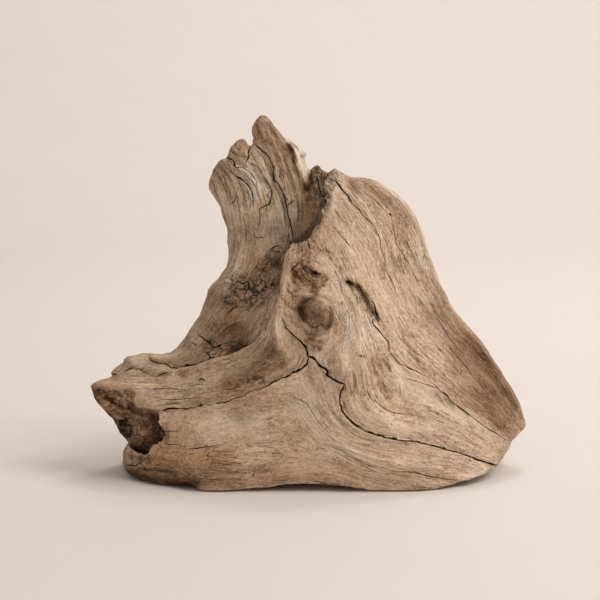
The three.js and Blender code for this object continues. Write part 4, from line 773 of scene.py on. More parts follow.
def raise_strokes(m, strokes):
    for k, (pts, w, a, kind) in enumerate(strokes):
        line = curve(pts)
        sl = window(line, 2.2 * w)
        d, side, t = near(line, GX[sl], GY[sl])
        ends = smooth(0, 0.18, t) * smooth(0, 0.18, 1 - t)
        ends *= 1 + 0.35 * wobble(t * len(pts) * 1.7, k + 3)
        if kind == "bump":
            v = np.exp(-((d / (0.62 * w)) ** 2))
        else:
            v = np.tanh(d * side / (0.16 * w)) * np.exp(-((d / (0.75 * w)) ** 2))
        m[sl] -= a * ends * v


def crack_line(pts, k):
    """a drying check: the smooth line through the points, made jagged"""
    line = curve(pts)
    seg = np.sqrt(((line[1:] - line[:-1]) ** 2).sum(1))
    cum = np.concatenate([[0], np.cumsum(seg)])
    t = np.linspace(0, cum[-1], max(int(cum[-1] / 0.8), 4))
    p = np.column_stack([np.interp(t, cum, line[:, 0]), np.interp(t, cum, line[:, 1])])
    d = np.gradient(p, axis=0)
    d /= np.maximum(np.sqrt((d ** 2).sum(1)), 1e-9)[:, None]
    j = 0.60 * wobble(t / 4.2, k + 0.5) + 0.36 * wobble(t / 1.7, k + 11.2) + 0.15 * wobble(t / 0.8, k + 23.4)
    j *= 0.75 * smooth(0, 2.5, t) * smooth(0, 2.5, cum[-1] - t)
    j *= 1 - 0.6 * smooth(345, 375, p[:, 0]) * smooth(345, 385, p[:, 1])
    return p + np.column_stack([-d[:, 1], d[:, 0]]) * j[:, None]


def line_gap(m_dist, line, half):
    """keeps the least distance to a line, less its half width"""
    sl = window(line, 9)
    d, _, _ = near(line, GX[sl], GY[sl])
    m_dist[sl] = np.minimum(m_dist[sl], d - half)


def make_maps():
    rest = rbf(FRONT, GX, GY)
    raise_strokes(rest, RELIEF)
    kx, ky = KNOT
    a = np.arctan2(GY - ky, GX - kx)
    r = np.hypot((GX - kx) / 1.0, (GY - ky) / 1.08)
    r = r + 1.1 * np.sin(2 * a + 0.6) + 0.8 * np.sin(3 * a + 2.0) + 1.6 * vnoise(GX / 7.0, GY / 7.0, GX * 0 + 4.5)
    rest -= 3.6 * np.exp(-((r / 25.0) ** 2.0)) - 1.3 * np.exp(-(((r - 16.0) / 3.2) ** 2)) * (0.55 + 0.45 * np.cos(a - 2.9)) * (1 + 0.5 * vnoise(GX / 5.0, GY / 5.0, GX * 0 + 14.5)) + 0.9 * np.exp(-((r / 9.0) ** 2)) * -1.0
    horn = rbf(HORN, GX, GY)
    dha, _, _ = near(SEAM_HA[:17], GX, GY)
    horn = rest + (horn - rest) * smooth(0, 20, dha)
    raise_strokes(horn, HORN_RELIEF)
    # the horn's right face turns away behind a ridge, and ends in a small peak beside the plate
    ridge = [(279,128),(282,134),(287,142),(293.3,161.2),(300.4,174.5),(305.5,186.7),(307,196)]
    sl = window(ridge, 40)
    d, side, t = near(curve(ridge), GX[sl], GY[sl])
    horn[sl] += 15.0 * smooth(0.5, 13, np.where(side < 0, d, 0)) * smooth(1.0, 0.82, t)
    rim_line = [(372,180),(389.5,189),(402,199),(413.5,213),(421,228.5),(426.2,245),(432.4,262.5),(440.5,283.5),(450.5,304.2),(463,320.8),(476.5,335.6),(488.5,351.5),(499.5,368.2),(511.5,387),(520.5,404.5)]
    sl = window(rim_line, 12)
    d, _, t = near(rim_line, GX[sl], GY[sl])
    rest[sl] += 3.2 * smooth(2.4, 0.3, d) * smooth(0, 0.06, t) * smooth(1.0, 0.96, t)
    hol = poly_sdf(HOLLOW, GX, GY)
    deep = rbf(HOLLOW_DEPTH, GX, GY)
    deep = deep + 2.4 * vnoise(GX / 9.0, GY / 12.0, GX * 0 + 0.5) + 2.2 * vnoise(GX / 4.2, GY / 5.5, GX * 0 + 3.5) + 1.2 * vnoise(GX / 2.2, GY / 3.0, GX * 0 + 5.5)
    arm = rest + (np.maximum(deep, rest) - rest) * smooth(-0.8, 4.2, hol)
    edge = rbf(EDGE, GX, GY)
    back = rbf(BACK, GX, GY)
    rnd = np.clip(rbf(ROUND, GX, GY), 4.5, 24)
    sil = poly_sdf(OUTLINE, GX, GY)
    ux, uy = zip(*UNDER)
    under = np.interp(GX, ux, uy)
    cliff_line = SEAM_HF + SEAM_HV[1:]
    dc, _, tc = near(curve(cliff_line, 3), GX, GY)
    end = np.hypot(GX - 276.8, GY - 302.5)
    undercut = smooth(16, 6, dc) * smooth(8, 26, end) * (2.3 + 1.5 * vnoise(GX / 5.0, GY / 5.0, GX * 0 + 9.5))
    reach = 7.0 * smooth(18, 8, dc) * smooth(3, 22, end)
    front = {"horn": horn, "fan": rest, "root_arm": arm, "lower_slab": rest}
    # ragged partings: the torn end, and the top left edge of the plate
    d, _, _ = near(SEAM_AS[-15:], GX, GY)
    rag_end = (0.9 * vnoise(GX / 2.6, GY / 2.6, GX * 0 + 21.5) + 0.45 * vnoise(GX / 1.3, GY / 1.3, GX * 0 + 23.5)) * smooth(7, 2, d)
    d, _, _ = near(SEAM_HF, GX, GY)
    rag_top = (1.3 * vnoise(GX / 3.4, GY / 3.4, GX * 0 + 25.5) + 0.6 * vnoise(GX / 1.5, GY / 1.5, GX * 0 + 27.5)) * smooth(8, 3, d)
    maps = {}
    for n in NODES:
        r = poly_sdf(REGIONS[n], GX, GY)
        u = np.zeros_like(r)
        if n == "horn":
            r = r + reach
        if n == "fan":
            u = np.clip(undercut, 0, 5)
            r = r + rag_top
        if n == "root_arm":
            r = r + rag_end
        if n == "lower_slab":
            r = r - rag_end
        maps[n] = np.stack([front[n], edge, back, rnd, sil, under, r, u], -1).astype(np.float32)
    return maps, horn, rest, hol


MAPS, HORN_FRONT, REST_FRONT, HOL = make_maps()
F_, E_, B_, RO_, S_, UN_, R_, U_ = range(8)


def look(A, u, v):
    x = np.clip((u - X0) / STEP, 0, NX - 1.001)
    y = np.clip((v - Y0) / STEP, 0, NY - 1.001)
    i = x.astype(np.int32)
    j = y.astype(np.int32)
    fx = (x - i).astype(np.float32)
    fy = (y - j).astype(np.float32)
    if A.ndim == 3:
        fx, fy = fx[..., None], fy[..., None]
    return (A[j, i] * (1 - fx) + A[j, i + 1] * fx) * (1 - fy) + (A[j + 1, i] * (1 - fx) + A[j + 1, i + 1] * fx) * fy


def body_field(C, v, Y):
    """the grown form without the partings, negative inside, in mm"""
    f, e, b = C[..., F_], C[..., E_], C[..., B_]
    tf = np.maximum(e - f, 3.0)
    tb = np.maximum(b - e, 3.0)
    q = np.maximum(1.0 - C[..., S_] / C[..., RO_], 0.0)
    front = Y < e
    r = np.where(front, (e - Y) / tf, (Y - e) / tb)
    F = (np.sqrt(q * q + r * r) - 1.0) * np.minimum(np.where(front, tf, tb), 14.0)
    g = C[..., UN_] - z_of(v, Y)
    h = np.maximum(2.0 - np.abs(F - g), 0.0) / 2.0
    return np.maximum(F, g) + 0.5 * h * h


def field(C, v, Y):
    F = body_field(C, v, Y)
    s = smooth(1.0, 9.0, Y - C[..., F_])
    return np.maximum(F, OVERLAP - (C[..., R_] - C[..., U_] * s) * MMU)


def surface_nets(F, xs, ys, zs):
    s = F < 0
    nx, ny, nz = F.shape
    cnt = np.zeros((nx - 1, ny - 1, nz - 1), np.int8)
    corners = [(a, b, c) for a in (0, 1) for b in (0, 1) for c in (0, 1)]
    for a, b, c in corners:
        cnt += s[a:nx - 1 + a, b:ny - 1 + b, c:nz - 1 + c]
    cell = (cnt > 0) & (cnt < 8)
    I, J, K = np.nonzero(cell)
    idx = -np.ones(cell.shape, np.int64)
    idx[I, J, K] = np.arange(len(I))
    P = np.zeros((len(I), 3))
    W = np.zeros(len(I))
    for a, b, c in corners:
        for axis in range(3):
            o = [a, b, c]
            if o[axis]:
                continue
            e = o[:]
            e[axis] = 1
            v0 = F[I + a, J + b, K + c]
            v1 = F[I + e[0], J + e[1], K + e[2]]
            cross = (v0 < 0) != (v1 < 0)
            t = np.where(cross, v0 / np.where(cross, v0 - v1, 1.0), 0.0)
            p = np.tile(np.array([a, b, c], float), (len(I), 1))
            p[:, axis] += t
            P += np.where(cross[:, None], p, 0)
            W += cross
    P = P / W[:, None] + np.column_stack([I, J, K])
    quads = []
    for axis in range(3):
        lo = [slice(None)] * 3
        hi = [slice(None)] * 3
        lo[axis] = slice(0, -1)
        hi[axis] = slice(1, None)
        a = s[tuple(lo)]
        g = np.stack(np.nonzero(a != s[tuple(hi)]), 1)
        u, v = [(1, 2), (2, 0), (0, 1)][axis]
        ok = (g[:, u] > 0) & (g[:, v] > 0) & (g[:, u] < F.shape[u] - 1) & (g[:, v] < F.shape[v] - 1)
        g = g[ok]
        first = a[g[:, 0], g[:, 1], g[:, 2]]

        def cid(du, dv):
            h = g.copy()
            h[:, u] -= du
            h[:, v] -= dv
            return idx[h[:, 0], h[:, 1], h[:, 2]]

        q = np.stack([cid(1, 1), cid(0, 1), cid(0, 0), cid(1, 0)], 1)
        q[~first] = q[~first][:, ::-1]
        quads.append(q)
    Q = np.vstack(quads)
    V = np.column_stack([
        np.interp(P[:, 0], np.arange(nx), xs),
        np.interp(P[:, 1], np.arange(ny), ys),
        np.interp(P[:, 2], np.arange(nz), zs),
    ])
    # each four-sided face parts along its shorter diagonal
    d0 = ((V[Q[:, 0]] - V[Q[:, 2]]) ** 2).sum(1)
    d1 = ((V[Q[:, 1]] - V[Q[:, 3]]) ** 2).sum(1)
    m = d0 <= d1
    T = np.vstack([Q[m][:, [0, 1, 2]], Q[m][:, [0, 2, 3]], Q[~m][:, [0, 1, 3]], Q[~m][:, [1, 2, 3]]])
    return V, T


def first_mesh(A, step=3.0, dstep=2.2):
    xs = np.arange(86.0, 532.0, step)
    ys = np.arange(110.0, 516.0, step)
    ds = np.arange(-76.0, 72.0, dstep)
    gx, gy = np.meshgrid(xs, ys, indexing="ij")
    C = look(A, gx, gy)
    ok = (C[..., R_] > -4) & (C[..., S_] > -4)
    i = np.nonzero(ok.any(1))[0]
    j = np.nonzero(ok.any(0))[0]
    xs = xs[max(i[0] - 2, 0):i[-1] + 3]
    ys = ys[max(j[0] - 2, 0):j[-1] + 3]
    gx, gy = np.meshgrid(xs, ys, indexing="ij")
    C = look(A, gx, gy)
    F = np.empty((len(xs), len(ys), len(ds)), np.float32)
    for k, d in enumerate(ds):
        F[:, :, k] = field(C, gy, d)
    return surface_nets(F, xs, ys, ds)


def settle(A, P, rounds=2, limit=0.9):
    """moves points onto the form's surface"""
    P = P.copy()
    h = 0.35
    for _ in range(rounds):
        u, v, Y = P[:, 0], P[:, 1], P[:, 2]
        C = look(A, u, v)
        f0 = field(C, v, Y)
        gy = (field(C, v, Y + 0.2) - field(C, v, Y - 0.2)) / 0.4
        gu = (field(look(A, u + h, v), v, Y) - field(look(A, u - h, v), v, Y)) / (2 * h * MMU)
        gv = (field(look(A, u, v + h), v + h, Y) - field(look(A, u, v - h), v - h, Y)) / (2 * h * MMU)
        g2 = gu * gu + gv * gv + gy * gy + 1e-4
        t = -f0 / g2
        n = np.sqrt(g2)
        t = np.clip(t * n, -limit, limit) / n
        P[:, 0] += t * gu / MMU
        P[:, 1] += t * gv / MMU
        P[:, 2] += t * gy
    return P


def edge_table(T, n):
    E = np.vstack([T[:, [0, 1]], T[:, [1, 2]], T[:, [2, 0]]])
    E.sort(axis=1)
    key, inv = np.unique(E[:, 0].astype(np.int64) * n + E[:, 1], return_inverse=True)
    return key // n, key % n, inv.reshape(3, -1).T


def refine(A, V, T, target, passes):
    for _ in range(passes):
        a, b, te = edge_table(T, len(V))
        mid = (V[a] + V[b]) / 2
        L = np.sqrt(((V[a] - V[b]) ** 2 * (1, 1, 1 / MMU ** 2)).sum(1))
        mark = L > target(mid)
        Lt = L[te]
        longest = te[np.arange(len(T)), Lt.argmax(1)]
        for _ in range(8):
            hit = mark[te].any(1)
            new = mark.copy()
            new[longest[hit]] = True
            if (new == mark).all():
                break
            mark = new
        if not mark.any():
            break
        ids = np.full(len(a), -1)
        ids[mark] = len(V) + np.arange(mark.sum())
        V = np.vstack([V, settle(A, mid[mark])])
        m = mark[te]
        code = m[:, 0] + 2 * m[:, 1] + 4 * m[:, 2]
        out = [T[code == 0]]
        # turned so that the one marked edge comes first, or the one unmarked edge last
        for c, turn in ((1, 0), (2, 1), (4, 2)):
            w = code == c
            t = np.roll(T[w], -turn, axis=1)
            e = np.roll(te[w], -turn, axis=1)
            p = ids[e[:, 0]]
            out += [np.column_stack([t[:, 0], p, t[:, 2]]), np.column_stack([p, t[:, 1], t[:, 2]])]
        for c, turn in ((3, 0), (6, 1), (5, 2)):
            w = code == c
            t = np.roll(T[w], -turn, axis=1)
            e = np.roll(te[w], -turn, axis=1)
            p, q = ids[e[:, 0]], ids[e[:, 1]]
            out.append(np.column_stack([p, t[:, 1], q]))
            k = L[e[:, 0]] >= L[e[:, 1]]
            out += [np.column_stack([t[:, 0], p, t[:, 2]])[k], np.column_stack([p, q, t[:, 2]])[k]]
            out += [np.column_stack([t[:, 0], p, q])[~k], np.column_stack([t[:, 0], q, t[:, 2]])[~k]]
        w = code == 7
        t, e = T[w], ids[te[w]]
        out += [
            np.column_stack([t[:, 0], e[:, 0], e[:, 2]]),
            np.column_stack([e[:, 0], t[:, 1], e[:, 1]]),
            np.column_stack([e[:, 2], e[:, 1], t[:, 2]]),
            np.column_stack([e[:, 0], e[:, 1], e[:, 2]]),
        ]
        T = np.vstack(out)
    return V, T


def check_map(checks):
    m = np.full(GX.shape, 99.0)
    for k, (pts, w, d, *_) in enumerate(checks):
        line_gap(m, crack_line(pts, k), w / 2)
    return m.astype(np.float32)


CHECK_NEAR = {"horn": check_map(HORN_CHECKS)}
CHECK_NEAR["fan"] = CHECK_NEAR["root_arm"] = CHECK_NEAR["lower_slab"] = check_map(CHECKS)
BACK_NEAR = check_map(BACK_CHECKS)
# longest edges, in view units: front, sides, back, open checks
SIZES = {"horn": (1.66, 2.4, 3.3, 0.68), "fan": (2.06, 2.9, 4.2, 0.74), "root_arm": (1.05, 2.2, 2.8, 0.5), "lower_slab": (1.68, 2.4, 3.3, 0.62)}


def target_of(node):
    A = MAPS[node]
    near_check = CHECK_NEAR[node]
    other = HORN_FRONT.astype(np.float32)

    plain, sides, rear, fine = SIZES[node]
    rough = crackled(node, GX, GY).astype(np.float32)

    def target(mid):
        u, v, Y = mid.T
        C = look(A, u, v)
        s = Y - C[:, F_]
        seam = np.abs(C[:, R_] - C[:, U_] * smooth(1.0, 9.0, s) - OVERLAP / MMU)
        t = np.where(s < 9.0, plain, sides)
        t = np.where(Y < C[:, E_] + 1.0, t, rear)
        c = look(near_check, u, v)
        t = np.where((c < 0.45) & (s < 5.0), fine, t)
        t = np.where((seam < 0.4) & (s < 0.7), fine, t)
        t = np.where((look(rough, u, v) > 0.3) & (s < 6.0), np.minimum(t, 0.85 if node == "horn" else 1.1), t)
        t = np.where((look(BACK_NEAR, u, v) < 0.9) & (C[:, B_] - Y < 5.0), 1.15, t)
        wall = (seam < 0.45) & (s > 2.2)
        if node == "fan":
            wall &= Y > look(other, u, v) + 4.0
        return np.where(wall, 9.0, t)

    return target


# ------------------------------------------------------------------ fibres
class Fibres:
    """places along and across the fibres, from the lines that they follow, in mm"""

    def __init__(self, lines, step=4.0, sigma=4.0, rounds=420):
        self.x0, self.y0, self.step = 76.0, 100.0, step
        self.nx, self.ny = int(468 / step), int(428 / step)
        gx, gy = np.meshgrid(self.x0 + step * np.arange(self.nx), self.y0 + step * np.arange(self.ny))
        mx = (gx[1:, 1:] + gx[:-1, :-1]) / 2
        my = (gy[1:, 1:] + gy[:-1, :-1]) / 2
        DX = np.zeros(mx.shape)
        DY = np.zeros(mx.shape)
        for line in lines:
            p = curve(line, 4)
            m = (p[1:] + p[:-1]) / 2
            d = p[1:] - p[:-1]
            for (px, py), (dx, dy) in zip(m, d):
                w = 1.0 / ((mx - px) ** 2 + (my - py) ** 2 + sigma ** 2) ** 2
                DX += w * dx
                DY += w * dy
        n = np.sqrt(DX * DX + DY * DY) + 1e-30
        DX /= n
        DY /= n
        self.across = self.solve(DX, DY, 0.0, 1.0, 1.0, 0.05, rounds)
        self.along = self.solve(DX, DY, 1.0, 0.0, 1.0, 0.30, rounds)

    def solve(self, DX, DY, want_d, want_n, wd, wn, rounds):
        """the height whose slope is want_d along the fibres and want_n across them, as near as it goes"""
        h = self.step * MMU

        def grad(p):
            a = p[1:, 1:] - p[:-1, :-1]
            b = p[:-1, 1:] - p[1:, :-1]
            gx = (a + b) / (2 * h)
            gy = (a - b) / (2 * h)
            hour = (p[1:, 1:] + p[:-1, :-1] - p[:-1, 1:] - p[1:, :-1]) / h
            return DX * gx + DY * gy, -DY * gx + DX * gy, hour

        def grad_t(gd, gn, hour):
            gx = (DX * gd - DY * gn) / (2 * h)
            gy = (DY * gd + DX * gn) / (2 * h)
            hr = hour / h
            out = np.zeros((self.ny, self.nx))
            out[1:, 1:] += gx + gy + hr
            out[:-1, :-1] += -gx - gy + hr
            out[:-1, 1:] += gx - gy - hr
            out[1:, :-1] += -gx + gy - hr
            return out

        def A(p):
            gd, gn, hr = grad(p)
            return grad_t(wd * gd, wn * gn, 0.02 * hr)

        b = grad_t(np.full(DX.shape, wd * want_d), np.full(DX.shape, wn * want_n), np.zeros(DX.shape))
        x = np.zeros((self.ny, self.nx))
        r = b - A(x)
        p = r.copy()
        rr = (r * r).sum()
        for _ in range(rounds):
            q = A(p)
            a = rr / max((p * q).sum(), 1e-30)
            x += a * p
            r -= a * q
            r2 = (r * r).sum()
            if r2 < 1e-16:
                break
            p = r + (r2 / rr) * p
            rr = r2
        return x

    def at(self, u, v):
        x = np.clip((u - self.x0) / self.step, 1, self.nx - 2.001)
        y = np.clip((v - self.y0) / self.step, 1, self.ny - 2.001)
        i, j = x.astype(int), y.astype(int)
        fx, fy = x - i, y - j

        def weights(t):
            return (-0.5 * t + t * t - 0.5 * t ** 3, 1 - 2.5 * t * t + 1.5 * t ** 3, 0.5 * t + 2 * t * t - 1.5 * t ** 3, -0.5 * t * t + 0.5 * t ** 3)

        wx, wy = weights(fx), weights(fy)
        out = []
        for G in (self.across, self.along):
            acc = 0
            for b in range(4):
                row = 0
                for a in range(4):
                    row = row + wx[a] * G[j + b - 1, i + a - 1]
                acc = acc + wy[b] * row
            out.append(acc)
        return out


FIBRES = {
    "fan": Fibres([FLOW[i] for i in (0, 1, 2, 3, 4, 5, 6, 7, 8, 9, 15)]),
    "lower_slab": Fibres([FLOW[i] for i in (5, 10, 11, 12, 13, 14, 15, 16, 17, 18)]),
    "root_arm": Fibres(FLOW[19:24]),
    "horn": Fibres(HORN_FLOW + FLOW[19:24]),
}


def drawn(a, l, Y, size, ratio, octaves, seed):
    """noise drawn out along the fibres: size across in mm, ratio of across to along"""
    return 1.6 * fbm(np.column_stack([a, l * ratio, Y]), size, octaves, seed)


def cell_gap(p, size, seed):
    """distance in mm between the two nearest of scattered points: 0 on the edges of the cells around them"""
    q = p / size + seed * 11.7
    base = np.floor(q).astype(np.int64)
    one = np.full(len(q), 9.0)
    two = np.full(len(q), 9.0)
    for i in (-1, 0, 1):
        for j in (-1, 0, 1):
            for k in (-1, 0, 1):
                c = base + (i, j, k)
                h = ((c[:, 0] & 63) << 12) | ((c[:, 1] & 63) << 6) | (c[:, 2] & 63)
                d = 0
                for m, turn in enumerate((0, 7919, 104729)):
                    d = d + (c[:, m] + 0.5 + 0.27 * LATTICE[(h + turn) & 262143] - q[:, m]) ** 2
                d = np.sqrt(d)
                two = np.minimum(two, np.maximum(one, d))
                one = np.minimum(one, d)
    return (two - one) * size


def crackled(node, u, v):
    m = np.zeros(np.shape(u))
    for nodes, pts, w, k in CRACKLE:
        if node in nodes:
            d, _, _ = near(curve(pts, 3), u, v)
            m = np.maximum(m, k * smooth(1.25 * w, 0.6 * w, d))
    return m


def open_checks(checks, u, v, s, seed0):
    """how deep the drying checks are at each point, and how much painted shade lies in them"""
    depth = np.zeros(len(u))
    dark = np.zeros(len(u))
    for k, (pts, w, dep, t0, t1, *cap) in enumerate(checks):
        line = crack_line(pts, k)
        pad = w * 0.8 + 1.6
        lo, hi = line.min(0) - pad, line.max(0) + pad
        m = (u > lo[0]) & (u < hi[0]) & (v > lo[1]) & (v < hi[1]) & (s < 30)
        if not m.any():
            continue
        x, y = u[m], v[m]
        d, side, t = near(line, x, y)
        length = np.sqrt(((line[1:] - line[:-1]) ** 2).sum(1)).sum()
        a = t * length
        d = np.abs(d * side + 0.10 * wobble(a / 1.1, k + seed0 + 50))
        taper = np.ones(len(x))
        if t0 > 0:
            taper *= np.clip(t / t0, 0, 1) ** 0.7
        if t1 > 0:
            taper *= np.clip((1 - t) / t1, 0, 1) ** 0.7
        beyond = ((t <= 0) | (t >= 1)) & (d > 0.3)
        half = w / 2 * (0.25 + 0.75 * taper) * (1 + 0.30 * wobble(a / 5.0, k + seed0 + 20) + 0.22 * wobble(a / 2.0, k + seed0 + 30))
        prof = np.clip(1 - (d / np.maximum(half, 0.2)) ** 1.6, 0, 1)
        prof[beyond] = 0
        dd = dep * (0.15 + 0.85 * taper) * prof
        kk = np.clip(1.25 - d / np.maximum(half, 0.28), 0, 1) * np.clip(0.25 + 0.75 * taper, 0, 1) * min(1.0, 0.45 + w * 0.42)
        kk[beyond] = 0
        if cap:
            kk = kk * cap[0]
        depth[m] = np.maximum(depth[m], dd)
        dark[m] = np.maximum(dark[m], kk)
    return depth, dark


def tones(strokes, u, v, s):
    out = np.zeros((len(u), 5))
    for pts, w, vals in strokes:
        line = curve(pts, 4)
        pad = 2.4 * w
        lo, hi = line.min(0) - pad, line.max(0) + pad
        m = (u > lo[0]) & (u < hi[0]) & (v > lo[1]) & (v < hi[1])
        d, _, t = near(line, u[m], v[m])
        out[m] += np.exp(-((d / w) ** 2))[:, None] * np.array(vals)
    return out


def base_normals(A, V):
    u, v, Y = V.T
    h = 0.5
    C = look(A, u, v)
    gy = (body_field(C, v, Y + 0.25) - body_field(C, v, Y - 0.25)) / 0.5
    gu = (body_field(look(A, u + h, v), v, Y) - body_field(look(A, u - h, v), v, Y)) / (2 * h)
    gv = (body_field(look(A, u, v + h), v + h, Y) - body_field(look(A, u, v - h), v - h, Y)) / (2 * h)
    f = DIST + Y * CE - (z_of(v, Y) - AIM[2]) * SE
    nx = gu * FOC / f
    nz = gu * (u - 300) * SE / f + gv * (-FOC * CE + (v - 300) * SE) / f
    ny = gy - gu * (u - 300) * CE / f - gv * (FOC * SE + (v - 300) * CE) / f
    n = np.column_stack([nx, ny, nz])
    return n / np.maximum(np.sqrt((n ** 2).sum(1)), 1e-6)[:, None]


def tip_mask(u, v):
    """broken tips and ragged lips of the form"""
    m = np.zeros(len(u))
    for (x, y, r) in ((261, 118, 6), (241, 141, 7), (214, 170, 7), (303, 154, 6), (316, 168, 8), (336, 172, 7), (93, 388, 8), (112, 374, 5), (523, 428, 5)):
        m = np.maximum(m, np.exp(-(((u - x) ** 2 + (v - y) ** 2) / r ** 2)))
    return m


def build(node):
    A = MAPS[node]
    V, T = first_mesh(A)
    V = settle(A, V, 3)
    V, T = refine(A, V, T, target_of(node), 5)
    used = np.unique(T)
    if len(used) < len(V):
        remap = np.full(len(V), -1)
        remap[used] = np.arange(len(used))
        V, T = V[used], remap[T]
    u, v, Y = V[:, 0].copy(), V[:, 1].copy(), V[:, 2].copy()
    C = look(A, u, v)
    f, e, b = C[:, F_].astype(float), C[:, E_].astype(float), C[:, B_].astype(float)
    s = np.maximum(Y - f, 0)
    face = smooth(1.5, -1.5, Y - e)  # 1 on the front half
    al, ll = FIBRES[node].at(u, v)
    if node == "fan":
        # growth rings of the knot
        r = np.hypot(u - KNOT[0], (v - KNOT[1]) / 1.08)
        ang = np.abs(np.arctan2(v - KNOT[1], u - KNOT[0]))
        k = smooth(20.0, 15.5, r) * smooth(12.0, 5.0, s)
        al = al + (r * MMU - al) * k
        ll = ll + (17.0 * MMU * ang - ll) * k
    Ys = np.where(Y < e, e + 0.5 * (Y - e), Y)
    g1 = drawn(al, ll, Ys, 2.0, 0.16, 2, 1.0)
    g2 = drawn(al, ll, Ys, 4.6, 0.11, 2, 2.0)
    g3 = drawn(al, ll, Ys, 11.0, 0.08, 2, 3.0)
    g4 = drawn(al, ll, Ys, 26.0, 0.16, 2, 4.0)
    gap = np.abs(drawn(al, ll, Ys, 6.0, 0.05, 2, 6.0) - 0.15)
    W0 = to_world(V)
    n = base_normals(A, V)
    # open checks
    cd, ck = open_checks(HORN_CHECKS if node == "horn" else CHECKS, u, v, s, 5 if node == "horn" else 90)
    bd, bk = open_checks(BACK_CHECKS, u, v, np.maximum(b - Y, 0), 200)
    Yn = Y + cd * np.exp(-s / (2 * np.maximum(cd, 0.3)))
    sb = np.maximum(b - Y, 0)
    Yn = Yn - bd * np.exp(-sb / (2 * np.maximum(bd, 0.3)))
    # painted shade inside the open checks, front and back
    crack_shade = np.maximum(ck * np.exp(-s / 3.0), bk * np.exp(-sb / 3.0))
    P = to_world(np.column_stack([u, v, Yn]))
    # grain, weathered lines and torn places
    tone = tones(HORN_TONE if node == "horn" else TONE, u, v, s)
    near_front = np.exp(-np.maximum(s - 6, 0) / 14.0) * face
    if node == "root_arm":
        hol = smooth(-0.8, 1.2, look(HOL.astype(np.float32), u, v))
        tone = tone * (1 - 0.75 * hol)[:, None] + hol[:, None] * (tones(HOLLOW_TONE, u, v, s) + np.outer(1 + 0.5 * fbm(to_world(V), 3.4, 3, 31.0), (0.26, 0.24, 0, 0, 0)) + (0, 0, 0, 0, 1))
    tone *= near_front[:, None]
    torn = np.clip(tone[:, 4], 0, 1)
    if node == "fan":
        # the fan's wall under its parting from the horn gets torn texture and painted shade
        wall = smooth(2.0, 0.8, np.abs(C[:, R_] - C[:, U_] * smooth(1.0, 9.0, s) - OVERLAP / MMU)) * smooth(2.0, 7.0, s) * (C[:, U_] > 0.3)
        torn = np.maximum(torn, 0.8 * wall)
        tone[:, 0] += 0.35 * wall
    torn = np.maximum(torn, 0.55 * tip_mask(u, v))
    backside = 1 - face
    low = fbm(W0, 30.0, 3, 4.0)
    lump = fbm(W0, 11.0, 3, 1.0)
    chip = fbm(W0, 3.6, 3, 2.0)
    tiny = fbm(W0, 1.5, 2, 3.0)
    calm = np.ones(len(u))
    for pts, w, k in HORN_CALM if node == "horn" else CALM:
        d, _, _ = near(curve(pts, 3), u, v)
        calm -= k * np.exp(-((d / w) ** 2)) * near_front
    calm = np.clip(calm, 0.12, 1)
    patchy = 0.65 + 0.35 * smooth(-0.8, 0.8, fbm(W0, 18.0, 2, 8.0))
    calm *= patchy
    g1, g2, g3, g4 = g1 * calm, g2 * calm, g3 * calm, g4 * calm
    bundle = smooth(-0.1, 0.6, fbm(W0, 15.0, 2, 9.0)) * smooth(0.25, 0.6, calm)
    groove = smooth(0.13, 0.02, gap) * bundle
    furrow = smooth(0.5, 1.4, -g3)
    cells = crackled(node, u, v) * near_front
    flaky = 0.55 * fbm(W0, 2.2, 2, 12.0)
    edge = cell_gap(np.column_stack([al + flaky, ll * 0.37 - 0.6 * flaky, Ys]), 3.1, 1.0)
    split = smooth(0.62, 0.18, edge) * cells * smooth(-1.1, 0.2, fbm(W0, 7.0, 2, 15.0))
    disp = 0.12 * g1 + 0.20 * g2 + 0.20 * g3 + 0.16 * g4
    disp -= 0.50 * groove
    disp += cells * (0.22 * smooth(0.0, 1.4, edge) - 0.2 + 0.35 * chip + 0.45 * lump) - 0.6 * split
    if node == "horn":
        # the prong weathers in thin layers with sharp edges
        step = (al + 0.7 * drawn(al, ll, Ys, 9.0, 0.06, 2, 16.0)) / 3.3
        part = step - np.floor(step)
        layer = smooth(-0.5, 0.5, drawn(al, ll, Ys, 14.0, 0.10, 2, 17.0)) * smooth(320, 250, v) * near_front * smooth(0.2, 0.5, calm)
        ledge = layer * smooth(0.16, 0.02, np.minimum(part, 1 - part))
        disp += layer * (0.55 * part - 0.27) + 0.5 * (0.12 * g1 + 0.2 * g2 + 0.2 * g3)
    else:
        ledge = np.zeros(len(u))
    disp += 0.09 * chip + 0.05 * tiny + 0.18 * lump
    disp += backside * (0.28 * g2 + 0.60 * g3 + 1.2 * g4 + 0.9 * low - 0.8 * furrow - 0.5 * groove - 1.1)
    disp += torn * (0.55 * chip + 0.55 * lump + 0.10 * tiny + 0.2 * g2)
    # nothing moves inside the checks, and the outline keeps its line
    disp *= 1 - 0.8 * np.clip(crack_shade, 0, 1)
    # the crackle splits get painted shade too
    crack_shade = np.maximum(crack_shade, 0.66 * split)
    rim = smooth(0.5, 9.0, C[:, S_])
    disp = np.where(disp > 0.12, 0.12 + (disp - 0.12) * rim, disp * (0.35 + 0.65 * rim))
    disp = np.clip(disp, -4.0, 3.0)
    foot = smooth(0.4, 4.0, P[:, 2])
    flat = smooth(-0.35, -0.85, n[:, 2]) * smooth(14.0, 4.0, W0[:, 2])
    disp = disp * (1 - flat) * (0.15 + 0.85 * foot)
    P = P + n * disp[:, None]
    bumps = np.abs(fbm(W0, 9.0, 3, 6.0)) * 2.0 + np.maximum(0.5 * g3 + 0.4 * g2, 0) * 1.2
    P[:, 2] += flat * smooth(0.3, 3.0, W0[:, 2]) * bumps
    P[:, 2] = np.maximum(P[:, 2], 0.02)
    grey = np.clip(tone[:, 2] + 0.25 * backside * smooth(-0.2, 1.2, low), 0, 1)
